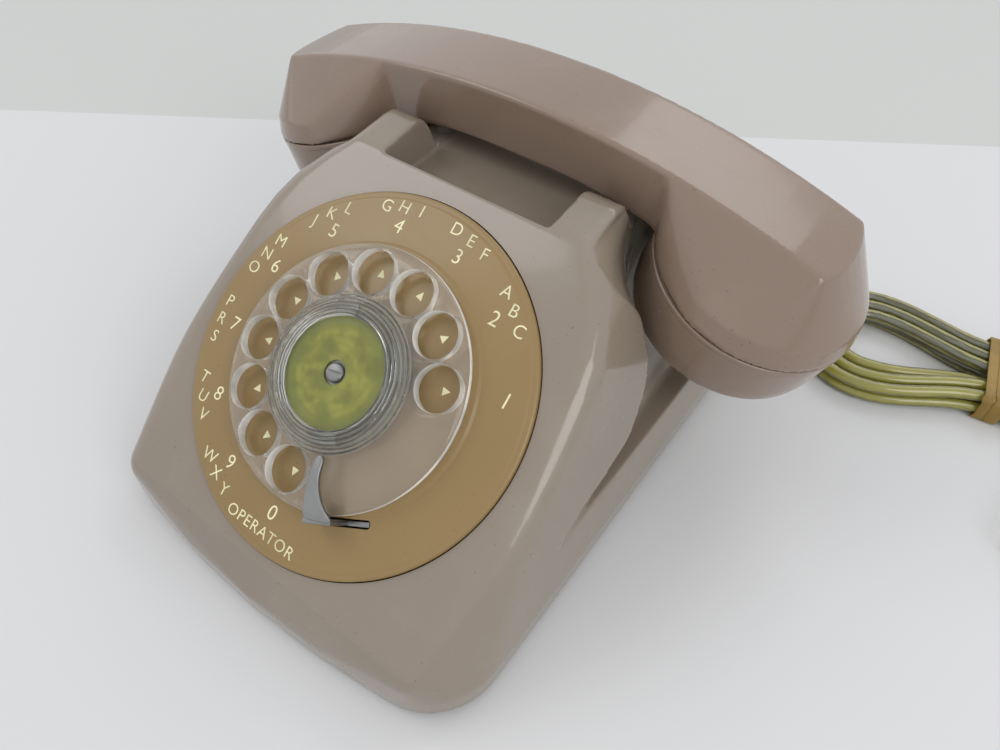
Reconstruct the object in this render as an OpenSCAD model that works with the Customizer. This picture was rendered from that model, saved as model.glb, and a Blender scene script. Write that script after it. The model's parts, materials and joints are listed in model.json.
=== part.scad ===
// Compact desk telephone with a sloping dial face, a four-prong cradle and a full-size handset.
// Millimetres, +Z up. The origin is on the table, below the middle of the body.

/* [Body] */
// Width of the body at the table
body_w = 152; // [146:1:168]
// Depth of the body at the table
body_d = 206; // [200:1:216]
// Radius of the body's corners, seen from above
corner_r = 18; // [12:1:24]
// Height of the dial face's plane above the table, at the front edge
lip_h = 18.4; // [17:0.2:24]
// Tilt of the dial face from the horizontal
face_tilt = 34.5; // [32:0.5:36]
// Thickness of the moulded walls
wall = 2.8; // [2:0.1:3.2]
// Height of the rubber feet below the body
foot_h = 2.5; // [1.5:0.5:5]
// Height of the skirt below the sides' hollows
skirt_h = 28; // [24:1:32]

/* [Cradle] */
// Half width of the recess between the prongs
recess_half = 31.6; // [28:0.2:33]
// Half width across the prongs
prong_half = 48; // [46:0.5:52]
// Depth of the saddle below the prong tops
saddle_depth = 14.2; // [13:0.2:15]
// Height of the plunger tips above the saddle, with the handset on
plunger_up = 5; // [4:0.2:6]
// Radius of a plunger
plunger_r = 3.2; // [2.6:0.1:3.4]
// Travel of a plunger when the handset comes off
plunger_travel = 5; // [3:0.5:6]

/* [Handset] */
// Radius of the round caps at their seam
cap_r = 34.5; // [32:0.5:35]
// Distance of a cap's centre from the middle of the handset
cap_x = 82.2; // [81:0.2:88]
// Depth of a cap below its seam
cap_depth = 24; // [20:0.5:25]
// Inward lean of the caps
cap_tilt = 17.5; // [14:0.5:20]
// Width of the handle's flat top
handle_w = 31.4; // [28:0.2:33]
// Thickness of the handle at its middle
handle_t = 21.5; // [19:0.5:23]
// Radius of the handle's curve along its length
handle_curve = 301; // [260:1:340]

/* [Dial] */
// Radius of the number plate
plate_r = 59; // [56:0.5:59.5]
// Radius of the finger wheel
wheel_r = 40.65; // [39.5:0.05:41.2]
// Radius of a finger hole
finger_r = 6.9; // [6.2:0.1:7.2]
// Radius of the circle through the finger holes
finger_circle = 31.8; // [31.4:0.1:32.4]
// Radius of the grooved centre ring
ring_r = 24; // [23:0.2:24.4]
// Radius of the number card
card_r = 16.8; // [14:0.2:17.6]
// Radius of the dial shaft
shaft_r = 3; // [2.6:0.1:3.6]

/* [Line cord] */
// Diameter of the line cord
cord_d = 4.6; // [4.2:0.1:4.8]
// Length of the straight runs of the hank
hank_run = 92; // [84:1:92]

/* [Fits] */
// Radial clearance of a turning or sliding fit
running_gap = 0.06; // [0.03:0.01:0.1]
// Gap between pieces that lie beside each other
fit_gap = 0.3; // [0.2:0.05:0.5]

/* [Hidden] */
$fn = 64;
through = 400;

// Colours
beige = [0.63, 0.56, 0.51];
amber = [0.60, 0.49, 0.33];
clear_plastic = [0.86, 0.86, 0.82, 0.5];
steel = [0.62, 0.62, 0.62];
brass = [0.78, 0.62, 0.32];
card_green = [0.66, 0.66, 0.24];
black_rubber = [0.12, 0.12, 0.12];
olive = [0.42, 0.40, 0.22];

// Frame of the whole
half_w = body_w / 2;
front_y = -body_d / 2;
rear_y = body_d / 2;
cradle_back = 51.5;
cradle_y = rear_y - cradle_back;
face_slope = tan(face_tilt);
function face_z(y) = lip_h + (y - front_y) * face_slope;

// The hull that bounds the body: skirt, front edge of the face, shoulders, prongs
skirt_top = 12;
front_corner_r = corner_r + 6;
front_bow = 4;
edge_r = 9;
front_edge_x = half_w - 19;
front_edge_y = front_y + 14;
// Each shoulder spot lies this far in from the side and in front of the cradle, with this radius
shoulders = [[13.7, 103.5, 9], [16.7, 67.5, 8], [21.7, 53.5, 8]];
prong_r = 6;
prong_x = prong_half - prong_r;
prong_lip_y = cradle_y - 39.5;
prong_y = cradle_y - 25.5;
prong_rise = 1.616;
prong_z = face_z(prong_lip_y) - prong_r / cos(face_tilt) + prong_rise;
prong_h = prong_z + prong_r;
rear_prong_x = prong_x - 2;
rear_prong_y = cradle_y + 32;
rear_prong_z = prong_z - 1.3;
saddle_z = prong_h - saddle_depth;
// Half width of the body's outer side at a height, beside the front prongs
function side_x(z) = lookup(z, [
    [skirt_top, half_w], [prong_z - 42, half_w - 5.8], [prong_z - 35, half_w - 7.5],
    [prong_z - 10, prong_half + 11.6], [prong_z - 4.3, prong_half + 7.6], [prong_z + 2.7, prong_half - 2]
]);

// Dial, on the face
dial_up = 71.1;
dial_y = front_y + dial_up * cos(face_tilt);
dial_z = lip_h + dial_up * sin(face_tilt);
plate_gap = 0.8;
plate_top = 1.9;
plate_middle = 2.7;
wheel_low = plate_middle + 0.9;
wheel_edge = 5.9;
wheel_top = 8.6;
holes = 10;
hole_step = 360 / 13;
first_hole = 20.2;
hub_top = 7;
shaft_top = hub_top - fit_gap;
shaft_low = -24;
gear_module = 0.8;
main_teeth = 78;
pinion_teeth = 12;
main_pitch_r = gear_module * main_teeth / 2;
pinion_pitch_r = gear_module * pinion_teeth / 2;
gear_h = -9.6;
gear_t = 2;
frame_h = -14;
frame_t = 2;
frame_r = 49;
post_circle = 45.5;
leg_x = frame_r - 8;
leg_reach = 16;
post_r = 2.5;
posts = [55, 165, 285];
pulse_angle = 110;
pulse_distance = main_pitch_r + pinion_pitch_r;
pulse_r = 1.5;
pulse_top = -2;
small_module = 0.5;
drive_teeth = 36;
governor_teeth = 12;
governor_distance = small_module * (drive_teeth + governor_teeth) / 2;
governor_turn = 250;
governor_r = 1.2;
drive_h = -17.6;
weights_r = 6.4;
cup_gap = 0.6;
cup_wall = 1.2;
cup_h = -26;
card_low = 9.1;
card_t = 0.8;
lens_t = 1.2;
screw_recess_r = 3.8;
screw_head_r = 3;
screw_r = 1.6;
clamp_t = 1.4;
clamp_r = 19.6;
stop_t = 1.6;
stop_blade_t = 1.4;
stop_top = 11.2;
stop_from = (wheel_r + 1.85) * [cos(290.52), sin(290.52)];
stop_to = (wheel_r + 3.25) * [cos(312.04), sin(312.04)];
stop_width = 9.2;
slot_gap = 0.5;

// Base
plate_t = 1.6;
base_low = foot_h;
base_top = base_low + plate_t;
base_gap = 0.5;
foot_r = 8;
foot_x = half_w - 22;
foot_y = rear_y - 28;
stem_r = 3;
boss_r = 4.6;
housing_screw_r = 1.9;
screw_len = 14;
boss_x = half_w - 13.5;
front_boss_y = front_y + 15.5;
rear_boss_x = 46;
rear_boss_y = rear_y - 8.5;
boss_top = lip_h + 7;

// Hook switch
plunger_x = prong_half - 11.5;
plunger_y = cradle_y - 5.5;
plunger_bottom = saddle_z - 19 - plunger_travel;
plunger_boss_r = plunger_r + running_gap + 1.6;
plunger_boss_h = 11;
lever_arm = 22;
pivot_y = plunger_y - lever_arm;
lever_t = 3;
pivot_z = plunger_bottom - fit_gap - lever_t / 2;
pivot_r = 1.5;
lever_w = 5;
lever_boss_r = 3.2;
bracket_t = 1.6;
bracket_x = plunger_x + lever_w / 2 + fit_gap;
bracket_d = 12;

// Network block
network_w = 66;
network_d = 20;
network_h = 22;
network_y = pivot_y - 5 - network_d / 2;
capacitor_r = 7;
capacitor_len = 24;

// Ringer
gong_r = 17;
gong_x = 23.2;
gong_y = cradle_y + 10.5;
gong_h = 12;
gong_low = 13;
gong_t = 1.2;
gong_post_r = 2.4;
ringer_t = 1.6;
ringer_top = base_top + ringer_t;
clapper_pivot_y = gong_y + 19;
clapper_z = base_top + 13;
clapper_ball_r = 3;
clapper_pin_r = 1.5;
ringer_half = gong_x + 8;
ringer_front = gong_y - 20;
coil_r = 6.5;
coil_len = 26;
coil_y = clapper_pivot_y + 11;
core_r = 2.2;
pole_gap = 4.2;
loud_r = 8;
loud_t = 4;
loud_x = -21;
loud_y = pivot_y + 12;
loud_z = base_low - 1.4 + loud_r;

// Handset, at rest on the plungers
handset_gap = 0.45;
handle_drop = 3.7;
handle_drop_x = 43;
handle_top = saddle_z + plunger_up + handset_gap + handle_drop * pow(plunger_x / handle_drop_x, 3) + handle_t;
seam_z = saddle_z - 8.7;
facet_end = asin(103.5 / handle_curve);
cap_wall = 2.6;
capsule_r = 27.4;
collar_r = cap_r - cap_wall - fit_gap;
collar_t = 2.4;
// Edge of a cap nearest the middle, at its seam
cap_near = cap_x - cap_r * cos(cap_tilt);
handle_half = 64;
inlet_r = 4;
// Top of the handle and its underside, at a distance x from the middle
function handle_top_z(x) = handle_top - handle_curve + sqrt(handle_curve * handle_curve - x * x);
function handle_low_z(x) = handle_top - handle_t - handle_drop * pow(abs(x) / handle_drop_x, 3);

// Line cord: exit, hank and plug
cord_r = cord_d / 2;
exit_x = 30;
exit_z = 11;
grommet_out = 14;
exit_y = rear_y + grommet_out;
hank_at = [163, 129];
hank_turn = 10;
hank_a = hank_run / 2;
hank_outer = 29.2;
hank_step = cord_d + 1;
hank_in = 12.2;
hank_layer_h = cord_d + 0.5;
climb_from = 0.2;
hank_lift = 1.4;
hank_turns = 5.5;
rings_per_turn = 24;
tie_t = 1;
tie_w = 9;
tie_gap = 0.6;
plug_w = 11.7;
plug_l = 22;
plug_h = 6.6;
// The lead's free stretch, from the grommet to the hank's first run
lead_route = [
    [exit_x, exit_y, exit_z], [exit_x, exit_y + 5, exit_z], [30.6, 129, 9.6], [33.5, 137, 6.6],
    [39, 143.5, 4.4], [47, 147, 3], [57, 147.4, 2.4], [68, 145.6, 2.35],
    [79, 144.2, 2.35], [88, 145, 2.35], [98, 146.6, 2.35]
];
// The tail, from the hank's last run to the plug
tail_route = [
    [203, 106.2, 7.1], [197.5, 103.4, 6], [193.4, 99, 4.6], [191.4, 93, 3.7],
    [191, 87, 3.4], [191, 82, 3.3]
];

// ---- Helpers ----

module on_face() translate([0, dial_y, dial_z]) rotate([face_tilt, 0, 0]) children();
module on_cap(side) translate([side * cap_x, cradle_y, seam_z]) rotate([0, side * cap_tilt, 0]) children();
module ring_of(r, start, step, count) for (i = [0:count - 1]) rotate(start + step * i)
    translate([r, 0, 0]) children();

// A closed solid through rings of points, each with as many points, clockwise seen from the last ring
module loft(rings) {
    n = len(rings[0]);
    m = len(rings);
    points = [for (ring = rings) each ring];
    skin = [for (i = [0:m - 2], j = [0:n - 1]) each [
        [i * n + j, i * n + (j + 1) % n, (i + 1) * n + j],
        [(i + 1) * n + j, i * n + (j + 1) % n, (i + 1) * n + (j + 1) % n]
    ]];
    first = [for (j = [1:n - 2]) [0, j + 1, j]];
    last = [for (j = [1:n - 2]) [(m - 1) * n, (m - 1) * n + j, (m - 1) * n + j + 1]];
    polyhedron(points, concat(skin, first, last));
}

// Unit vector, and the direction of travel at point i of a route
function unit(v) = v / norm(v);
function heading(route, i) = unit(route[min(i + 1, len(route) - 1)] - route[max(i - 1, 0)]);
// A ring round a point of a tube, square to its direction
function tube_ring(p, dir, r, sides) =
    let (side = unit(cross([0, 0, 1], dir)), up = cross(dir, side))
    [for (k = [0:sides - 1]) p + r * (cos(360 * k / sides) * side - sin(360 * k / sides) * up)];
module tube(route, r, sides)
    loft([for (i = [0:len(route) - 1]) tube_ring(route[i], heading(route, i), r, sides)]);

// Outline of a spur gear with straight-flanked teeth
function gear_outline(teeth, size) =
    let (r = size * teeth / 2, step = 360 / teeth)
    [for (i = [0:teeth - 1]) let (a = step * i) each [
        for (q = [[-0.30, -1.1], [-0.20, 0], [-0.09, 0.8], [0.09, 0.8], [0.20, 0], [0.30, -1.1]])
            (r + q[1] * size) * [cos(a + q[0] * step), sin(a + q[0] * step)]
    ]];

// ---- Body ----

// Spots of the rounded corners that bound the body's outline at the table, each with its radius
function outline_spots(side) = [
    [side * (half_w - front_corner_r), front_y + front_corner_r + front_bow, front_corner_r],
    [side * half_w * 0.35, front_y + front_corner_r + front_bow * 0.27, front_corner_r],
    [side * (half_w - corner_r), rear_y - corner_r, corner_r]
];

module outline_slab(inset, low, high) {
    for (side = [-1, 1], spot = outline_spots(side))
        translate([spot[0], spot[1], low]) cylinder(r = spot[2] - inset, h = high - low, $fn = 48);
    translate([0, front_y + front_corner_r, low])
        cylinder(r = front_corner_r - inset, h = high - low, $fn = 48);
}

// A ball that touches the face's plane from below
module face_ball(x, y, r, inset) translate([x, y, face_z(y) - r / cos(face_tilt)])
    sphere(r = r - inset, $fn = 32);

module shell_form(inset, low) hull() {
    outline_slab(inset, low, skirt_top - inset * 0.3);
    for (side = [-1, 1]) {
        face_ball(side * front_edge_x, front_edge_y, edge_r, inset);
        for (spot = shoulders)
            face_ball(side * (half_w - spot[0]), cradle_y - spot[1], spot[2], inset);
        face_ball(side * prong_x, prong_lip_y, prong_r, inset);
        translate([side * prong_x, prong_y, prong_z]) sphere(r = prong_r - inset, $fn = 32);
        translate([side * rear_prong_x, rear_prong_y, rear_prong_z])
            sphere(r = prong_r - inset, $fn = 32);
    }
}

// The recess behind the face, its floor a little lower than the saddle, and the finger pocket that opens
// at the back
module recess_cut(grow) {
    high = prong_h + 30;
    floor_y = cradle_y - 7.5;
    rim_y = cradle_y - 41.2;
    rotate([90, 0, 90]) {
        translate([0, 0, -recess_half - grow]) linear_extrude(2 * (recess_half + grow)) polygon([
            [rim_y - grow, high], [rim_y - grow, face_z(rim_y) - 2],
                [rim_y + 3 - grow, saddle_z - 0.4 - grow],
            [rear_y + 20, saddle_z - 0.4 - grow], [rear_y + 20, high]
        ]);
        translate([0, 0, 4.6 - recess_half - grow]) linear_extrude(2 * (recess_half - 4.6 + grow)) polygon([
            [floor_y - grow, saddle_z + 5], [floor_y - grow, saddle_z - grow],
                [floor_y + 16 - grow, saddle_z - 20 - grow],
            [rear_y + 20, saddle_z - 22 - grow], [rear_y + 20, saddle_z + 5]
        ]);
    }
}

// The saddle that the handle's necks lie in
module saddle_cut(grow) {
    reach = handle_w / 2 + 2.2;
    rotate([90, 0, 90]) translate([0, 0, -half_w]) linear_extrude(2 * half_w) polygon([
        [cradle_y - reach - 6.5 - grow, prong_h + 30], [cradle_y - reach - 6.5 - grow, prong_h],
        [cradle_y - reach - 3 - grow, prong_h - 1.2], [cradle_y - reach - 1.2 - grow, prong_h - 4],
        [cradle_y - reach + 2 - grow, saddle_z + 2 - grow], [cradle_y - reach + 4, saddle_z - grow],
        [cradle_y + reach - 4, saddle_z - grow], [cradle_y + reach - 2 + grow, saddle_z + 2 - grow],
        [cradle_y + reach + 1.2 + grow, prong_h - 4], [cradle_y + reach + 3 + grow, prong_h - 1.2],
        [cradle_y + reach + 6.5 + grow, prong_h], [cradle_y + reach + 6.5 + grow, prong_h + 30]
    ]);
}

// The hollow in each side that the handset's cap hangs in: arcs, from the skirt to the prongs.
// Each row holds the height as a share of the way up to the saddle, the distance of the arc's middle
// beyond the cap's near edge, and how far the arc's rear and front halves reach beyond the cap's radius.
scoop_rows = [
    [0, 16.7, 2, 60], [0.09, 10.7, -0.4, 43.3], [0.13, 8.8, -1.2, 30], [0.18, 6.7, -2, 18.4],
    [0.29, 2.5, -2.7, 11.8], [0.41, -1.3, -2.8, 6.6], [0.525, -3.8, -2, 4], [0.65, -6.2, 0, 2.2],
    [0.8, -6.9, 1.8, 2.2], [0.965, -6.7, 4.5, 6.1], [1.07, -6.1, 6.8, 9], [1.15, -5.4, 8.2, 8.4],
    [1.5, -3.3, 11.5, 8]
];
module scoop_cut(grow) {
    arc_points = 14;
    far = half_w + 40;
    loft([for (row = scoop_rows)
        let (z = skirt_h + row[0] * (saddle_z - skirt_h) - (row[0] == 0 ? grow : 0),
             near = cap_near + row[1] - grow, deep = max(side_x(z) - near, 1.5),
             rear = cap_r + row[2] + grow, front = cap_r + row[3] + grow,
             r = (deep * deep + rear * rear) / (2 * deep), spread = asin(min(rear / r, 1)))
        concat(
            [for (k = [0:arc_points]) let (a = -spread + 2 * spread * k / arc_points)
                [near + r - r * cos(a), cradle_y + r * sin(a) * (a < 0 ? front / rear : 1), z]],
            [[far, cradle_y + rear, z], [far, cradle_y - front, z]]
        )]);
}

module both_sides() for (side = [0, 1]) mirror([side, 0, 0]) children();

module screw_spots(z) {
    for (side = [-1, 1]) {
        translate([side * boss_x, front_boss_y, z]) children();
        translate([side * rear_boss_x, rear_boss_y, z]) children();
    }
}

module housing() color(beige) difference() {
    shell_form(0, base_low);
    difference() {
        shell_form(wall, base_low - 1);
        recess_cut(wall);
        saddle_cut(wall);
        both_sides() scoop_cut(wall);
        screw_spots(base_top + fit_gap) cylinder(r = boss_r, h = boss_top - base_top);
        both_sides() translate([plunger_x, plunger_y, saddle_z - plunger_boss_h])
            cylinder(r = plunger_boss_r, h = plunger_boss_h);
    }
    recess_cut(0);
    saddle_cut(0);
    both_sides() scoop_cut(0);
    on_face() cylinder(r = plate_r + plate_gap, h = 60, center = true, $fn = 96);
    screw_spots(base_top) cylinder(r = housing_screw_r + 0.05, h = screw_len);
    both_sides() translate([plunger_x, plunger_y, saddle_z - 20])
        cylinder(r = plunger_r + running_gap, h = 40);
    translate([exit_x, rear_y - 20, exit_z]) rotate([-90, 0, 0]) cylinder(r = cord_r + 1.4, h = 40);
    translate([-exit_x, rear_y - 20, exit_z]) rotate([-90, 0, 0]) cylinder(r = inlet_r, h = 40);
}

module base_plate() color(steel) difference() {
    inset = wall + base_gap;
    hull() outline_slab(inset, base_low, base_low + plate_t);
    feet_spots() cylinder(r = stem_r + 0.05, h = through, center = true);
    screw_spots(0) cylinder(r = housing_screw_r + 0.2, h = through, center = true);
    loudness_slot();
}

module feet_spots() for (x = [-foot_x, foot_x], y = [-foot_y, foot_y]) translate([x, y, 0]) children();

module rubber_feet() color(black_rubber) feet_spots() rotate_extrude() polygon([
    [0, 0], [foot_r - 1, 0], [foot_r, 1], [foot_r, base_low], [stem_r, base_low],
    [stem_r, base_top], [stem_r + 1, base_top + 0.05], [stem_r - 0.6, base_top + 3], [0, base_top + 3]
]);

module housing_screws() color(steel) screw_spots(base_low) difference() {
    union() {
        translate([0, 0, -1.6]) cylinder(r = 3.6, h = 1.6);
        cylinder(r = housing_screw_r, h = screw_len - 1);
    }
    translate([-5, -0.5, -2]) cube([10, 1, 1.2]);
}

// ---- Dial ----

module number_plate() color(amber) on_face() difference() {
    rotate_extrude($fn = 96) polygon([
        [7, plate_middle - 1.6], [wheel_r, plate_middle - 1.6], [wheel_r + 1.4, plate_top - 1.6],
        [plate_r - 3.4, plate_top - 1.6], [plate_r - 3.4, -wall], [plate_r, -wall],
        [plate_r, 0.3], [plate_r - 0.4, 1], [plate_r - 1, 1.25], [plate_r - 1.6, 1.1],
        [plate_r - 2.2, 1.5], [plate_r - 2.8, plate_top], [wheel_r + 1.8, plate_top],
        [wheel_r + 1, plate_middle], [7, plate_middle]
    ]);
    stop_slot() translate([-slot_gap, -stop_t / 2 - slot_gap, -10])
        cube([norm(stop_to - stop_from) + 2 * slot_gap, stop_t + 2 * slot_gap, 20]);
}

module stop_slot() {
    d = stop_to - stop_from;
    translate([stop_from[0], stop_from[1], 0]) rotate(atan2(d[1], d[0])) children();
}

module finger_stop() color(steel) on_face() {
    run = norm(stop_to - stop_from);
    stop_slot() {
        translate([0, -stop_t / 2, frame_h + frame_t])
            cube([run, stop_t, plate_top - 0.4 - frame_h - frame_t]);
        translate([0, -stop_t / 2, plate_top - 0.6]) cube([stop_width, stop_t, stop_top - plate_top + 0.6]);
    }
    translate([0, 0, stop_top - stop_blade_t]) linear_extrude(stop_blade_t) polygon(wheel_r * [
        [0.359, -0.967], [0.280, -0.827], [0.234, -0.699], [0.216, -0.576], [0.229, -0.541],
        [0.261, -0.534], [0.283, -0.558], [0.308, -0.657], [0.349, -0.723],
        [0.408, -0.787], [0.482, -0.836], [0.571, -0.866], [0.551, -0.900]
    ]);
}

module dial_frame() color(steel) on_face() difference() {
    union() {
        translate([0, 0, frame_h]) cylinder(r = frame_r, h = frame_t);
        translate([0, 0, frame_h + frame_t]) cylinder(r = shaft_r + 3, h = 1.6);
        for (a = posts) rotate(a) translate([post_circle, 0, frame_h + 1])
            cylinder(r = post_r, h = plate_top - 1.6 - frame_h - 1);
    }
    translate([0, 0, -40]) cylinder(r = shaft_r + running_gap, h = 60);
    pulse_axis() translate([0, 0, -40]) cylinder(r = pulse_r + running_gap, h = 60);
    governor_axis() translate([0, 0, -40]) cylinder(r = governor_r + running_gap, h = 60);
    for (a = posts) rotate(a) translate([post_circle, 0, -40]) cylinder(r = 1, h = 60);
}

module pulse_axis() rotate(pulse_angle) translate([pulse_distance, 0, 0]) children();
module governor_axis() pulse_axis() rotate(governor_turn - pulse_angle)
    translate([governor_distance, 0, 0]) children();

// Place in the body, as [y, z], of a point up the face's slope and along its normal
function on_slope(up, out) = [
    dial_y + up * cos(face_tilt) - out * sin(face_tilt),
    dial_z + up * sin(face_tilt) + out * cos(face_tilt)
];

// Two legs that carry the dial on the base
module dial_bracket() color(steel) {
    lower = on_slope(-leg_reach, frame_h);
    upper = on_slope(leg_reach, frame_h);
    for (side = [-1, 1]) {
        translate([side * leg_x - bracket_t / 2, 0, 0]) rotate([90, 0, 90]) linear_extrude(bracket_t)
            polygon([[lower[0], base_top], lower, upper, [upper[0], base_top]]);
    }
    translate([-leg_x, lower[0], base_top]) cube([2 * leg_x, upper[0] - lower[0], bracket_t]);
}

module dial_screws() color(steel) on_face() for (a = posts) rotate(a) translate([post_circle, 0, 0]) {
    translate([0, 0, frame_h - 1.6]) cylinder(r = 2, h = 1.6);
    translate([0, 0, frame_h - 1]) cylinder(r = 0.95, h = 8);
}

// Spiral return spring below the frame
spring_turns = 4;
spring_pitch = 1.9;
spring_strip = 0.5;
function spiral(turn, side) =
    (shaft_r + 1.5 + spring_pitch * turn + side * spring_strip / 2) * [cos(360 * turn), sin(360 * turn)];
module motor_spring() color(steel) on_face() {
    steps = spring_turns * 20;
    translate([0, 0, frame_h - 4.5]) linear_extrude(4) polygon(concat(
        [for (i = [0:steps]) spiral(i / 20, 1)],
        [for (i = [steps:-1:0]) spiral(i / 20, -1)]
    ));
}

module finger_wheel() color(clear_plastic) on_face() difference() {
    rotate_extrude($fn = 96) polygon([
        [shaft_r + 2.6, hub_top - 2], [12, hub_top - 2], [16, wheel_low + 0.6], [wheel_r - 3, wheel_low],
        [wheel_r - 0.8, wheel_low + 0.3], [wheel_r, wheel_low + 1], [wheel_r, wheel_edge],
        [wheel_r - 1, wheel_edge + 1], [wheel_r - 3.2, wheel_top - 0.6], [finger_circle, wheel_top],
        [ring_r + 1, wheel_top + 0.2], [ring_r - 3, wheel_top + 0.2], [ring_r - 3, hub_top],
            [shaft_r + 2.6, hub_top]
    ]);
    ring_of(finger_circle, first_hole, hole_step, holes) translate([0, 0, -1]) cylinder(r = finger_r, h = 20);
}

// Clear ring with stepped grooves round the card
module centre_ring() color(clear_plastic) on_face() {
    low = wheel_top + 0.2;
    grooves = 6;
    rise = 2.4;
    inner = card_r + 0.3;
    step = (ring_r - inner - 0.8) / grooves;
    rotate_extrude($fn = 96) polygon(concat(
        [[inner, low], [ring_r, low], [ring_r, low + 0.6]],
        [for (i = [0:grooves - 1]) each [
            [ring_r - 0.4 - step * i, low + 0.7 + rise * (i + 0.7) / grooves],
            [ring_r - 0.4 - step * (i + 0.75), low + 0.5 + rise * (i + 0.7) / grooves]
        ]],
        [[inner, low + rise + 0.7]]
    ));
}

module number_card() color(card_green) on_face() translate([0, 0, card_low]) difference() {
    cylinder(r = card_r, h = card_t);
    translate([0, 0, -1]) cylinder(r = screw_recess_r, h = 4);
}

module centre_lens() color(clear_plastic) on_face() translate([0, 0, card_low + card_t]) difference() {
    cylinder(r1 = card_r, r2 = card_r - 0.8, h = lens_t);
    translate([0, 0, -1]) cylinder(r = screw_recess_r, h = 4);
}

module clamp_plate() color(steel) on_face() translate([0, 0, hub_top]) difference() {
    union() {
        cylinder(r = clamp_r, h = clamp_t);
        cylinder(r = screw_recess_r + 2.2, h = card_low - hub_top);
    }
    translate([0, 0, -1]) cylinder(r = screw_r + 0.1, h = 6);
    ring_of(clamp_r - 7, 75, 90, 4) translate([0, 0, -1]) cylinder(r = 3, h = 6);
}

module centre_screw() color(steel) on_face() difference() {
    union() {
        translate([0, 0, card_low]) cylinder(r = screw_head_r, h = 2.2);
        translate([0, 0, shaft_top - 8]) cylinder(r = screw_r, h = card_low - shaft_top + 8.5);
    }
    translate([0, 0, card_low + 1.7]) rotate(15) cube([8, 0.8, 1.6], center = true);
}

module dial_shaft() color(steel) on_face() difference() {
    union() {
        translate([0, 0, shaft_low]) cylinder(r = shaft_r, h = shaft_top - shaft_low);
        translate([0, 0, plate_middle]) cylinder(r = shaft_r + 2.3, h = shaft_top - plate_middle);
    }
    translate([0, 0, shaft_top - 9]) cylinder(r = screw_r + 0.05, h = 12);
}

module main_gear() color(brass) on_face() translate([0, 0, gear_h]) rotate(pulse_angle) difference() {
    linear_extrude(gear_t) polygon(gear_outline(main_teeth, gear_module));
    translate([0, 0, -1]) cylinder(r = shaft_r, h = 6);
    ring_of(main_pitch_r * 0.6, 30, 60, 6) translate([0, 0, -1]) cylinder(r = 5, h = 6);
}

module pulse_shaft() color(brass) on_face() pulse_axis() {
    translate([0, 0, drive_h - 3]) cylinder(r = pulse_r, h = pulse_top - drive_h + 3);
    translate([0, 0, gear_h]) rotate(180 + 180 / pinion_teeth)
        linear_extrude(gear_t) polygon(gear_outline(pinion_teeth, gear_module));
}

module pulse_cam() color(black_rubber) on_face() pulse_axis() translate([0, 0, gear_h + gear_t + 0.4])
    difference() {
    linear_extrude(1.4) polygon([for (i = [0:35]) (3.8 + 1.4 * cos(20 * i)) * [cos(10 * i), sin(10 * i)]]);
    translate([0, 0, -1]) cylinder(r = pulse_r, h = 4);
}

module governor_gear() color(brass) on_face() pulse_axis() translate([0, 0, drive_h]) difference() {
    rotate(governor_turn - pulse_angle) linear_extrude(1.6) polygon(gear_outline(drive_teeth, small_module));
    translate([0, 0, -1]) cylinder(r = pulse_r, h = 4);
}

module governor_shaft() color(brass) on_face() governor_axis() {
    translate([0, 0, cup_h + 1.6]) cylinder(r = governor_r, h = frame_h + 3 - cup_h - 1.6);
    translate([0, 0, drive_h]) rotate(180 + 180 / governor_teeth)
        linear_extrude(1.6) polygon(gear_outline(governor_teeth, small_module));
}

module governor_weights() color(steel) on_face() governor_axis() translate([0, 0, drive_h - 5.6])
    difference() {
    union() {
        cylinder(r = 3, h = 4.4);
        for (a = [0, 180]) rotate(a) intersection() {
            cylinder(r = weights_r, h = 4);
            translate([1, -4, 0]) cube([8, 8, 4]);
        }
    }
    translate([0, 0, -1]) cylinder(r = governor_r, h = 8);
}

// Cup that the governor's weights rub in, on two pillars below the frame
module governor_cup() color(steel) on_face() governor_axis() {
    outer = weights_r + cup_gap + cup_wall;
    difference() {
        translate([0, 0, cup_h]) cylinder(r = outer, h = drive_h - 1 - cup_h);
        translate([0, 0, cup_h + cup_wall]) cylinder(r = outer - cup_wall, h = 20);
    }
    for (a = [70, 290]) rotate(a) translate([outer + 0.7, 0, cup_h + 0.8])
        cylinder(r = 1.5, h = frame_h - cup_h - 0.8);
}

// Contact leaves beside the pulse cam
module pulse_springs() color(brass) on_face() pulse_axis() {
    translate([6.6, -9, gear_h + gear_t + 0.2]) cube([0.4, 16, 2]);
    translate([8.2, -9, gear_h + gear_t + 0.2]) cube([0.4, 14, 2]);
    translate([6.6, -13, frame_h + frame_t]) cube([4, 4, gear_h + gear_t + 2.2 - frame_h - frame_t]);
}

// ---- Hook switch ----

module plunger(side) color(clear_plastic) translate([side * plunger_x, plunger_y, 0]) {
    top = saddle_z + plunger_up;
    rotate_extrude() polygon([
        [0, plunger_bottom], [plunger_r - 0.6, plunger_bottom], [plunger_r, plunger_bottom + 0.6],
        [plunger_r, top - 1.6], [plunger_r - 0.5, top - 0.6], [plunger_r - 1.6, top], [0, top]
    ]);
}
module plunger_left() plunger(-1);
module plunger_right() plunger(1);

module hook_lever() color(steel) difference() {
    union() {
        for (side = [-1, 1]) translate([side * plunger_x - lever_w / 2, pivot_y, pivot_z - lever_t / 2])
            cube([lever_w, lever_arm + 3, lever_t]);
        for (side = [-1, 1]) translate([side * plunger_x - lever_w / 2, pivot_y, pivot_z]) rotate([0, 90, 0])
            cylinder(r = lever_boss_r, h = lever_w);
        translate([-plunger_x, pivot_y + 6, pivot_z - lever_t / 2]) cube([2 * plunger_x, 6, lever_t]);
    }
    translate([-half_w, pivot_y, pivot_z]) rotate([0, 90, 0]) cylinder(r = pivot_r + running_gap, h = body_w);
}

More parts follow.
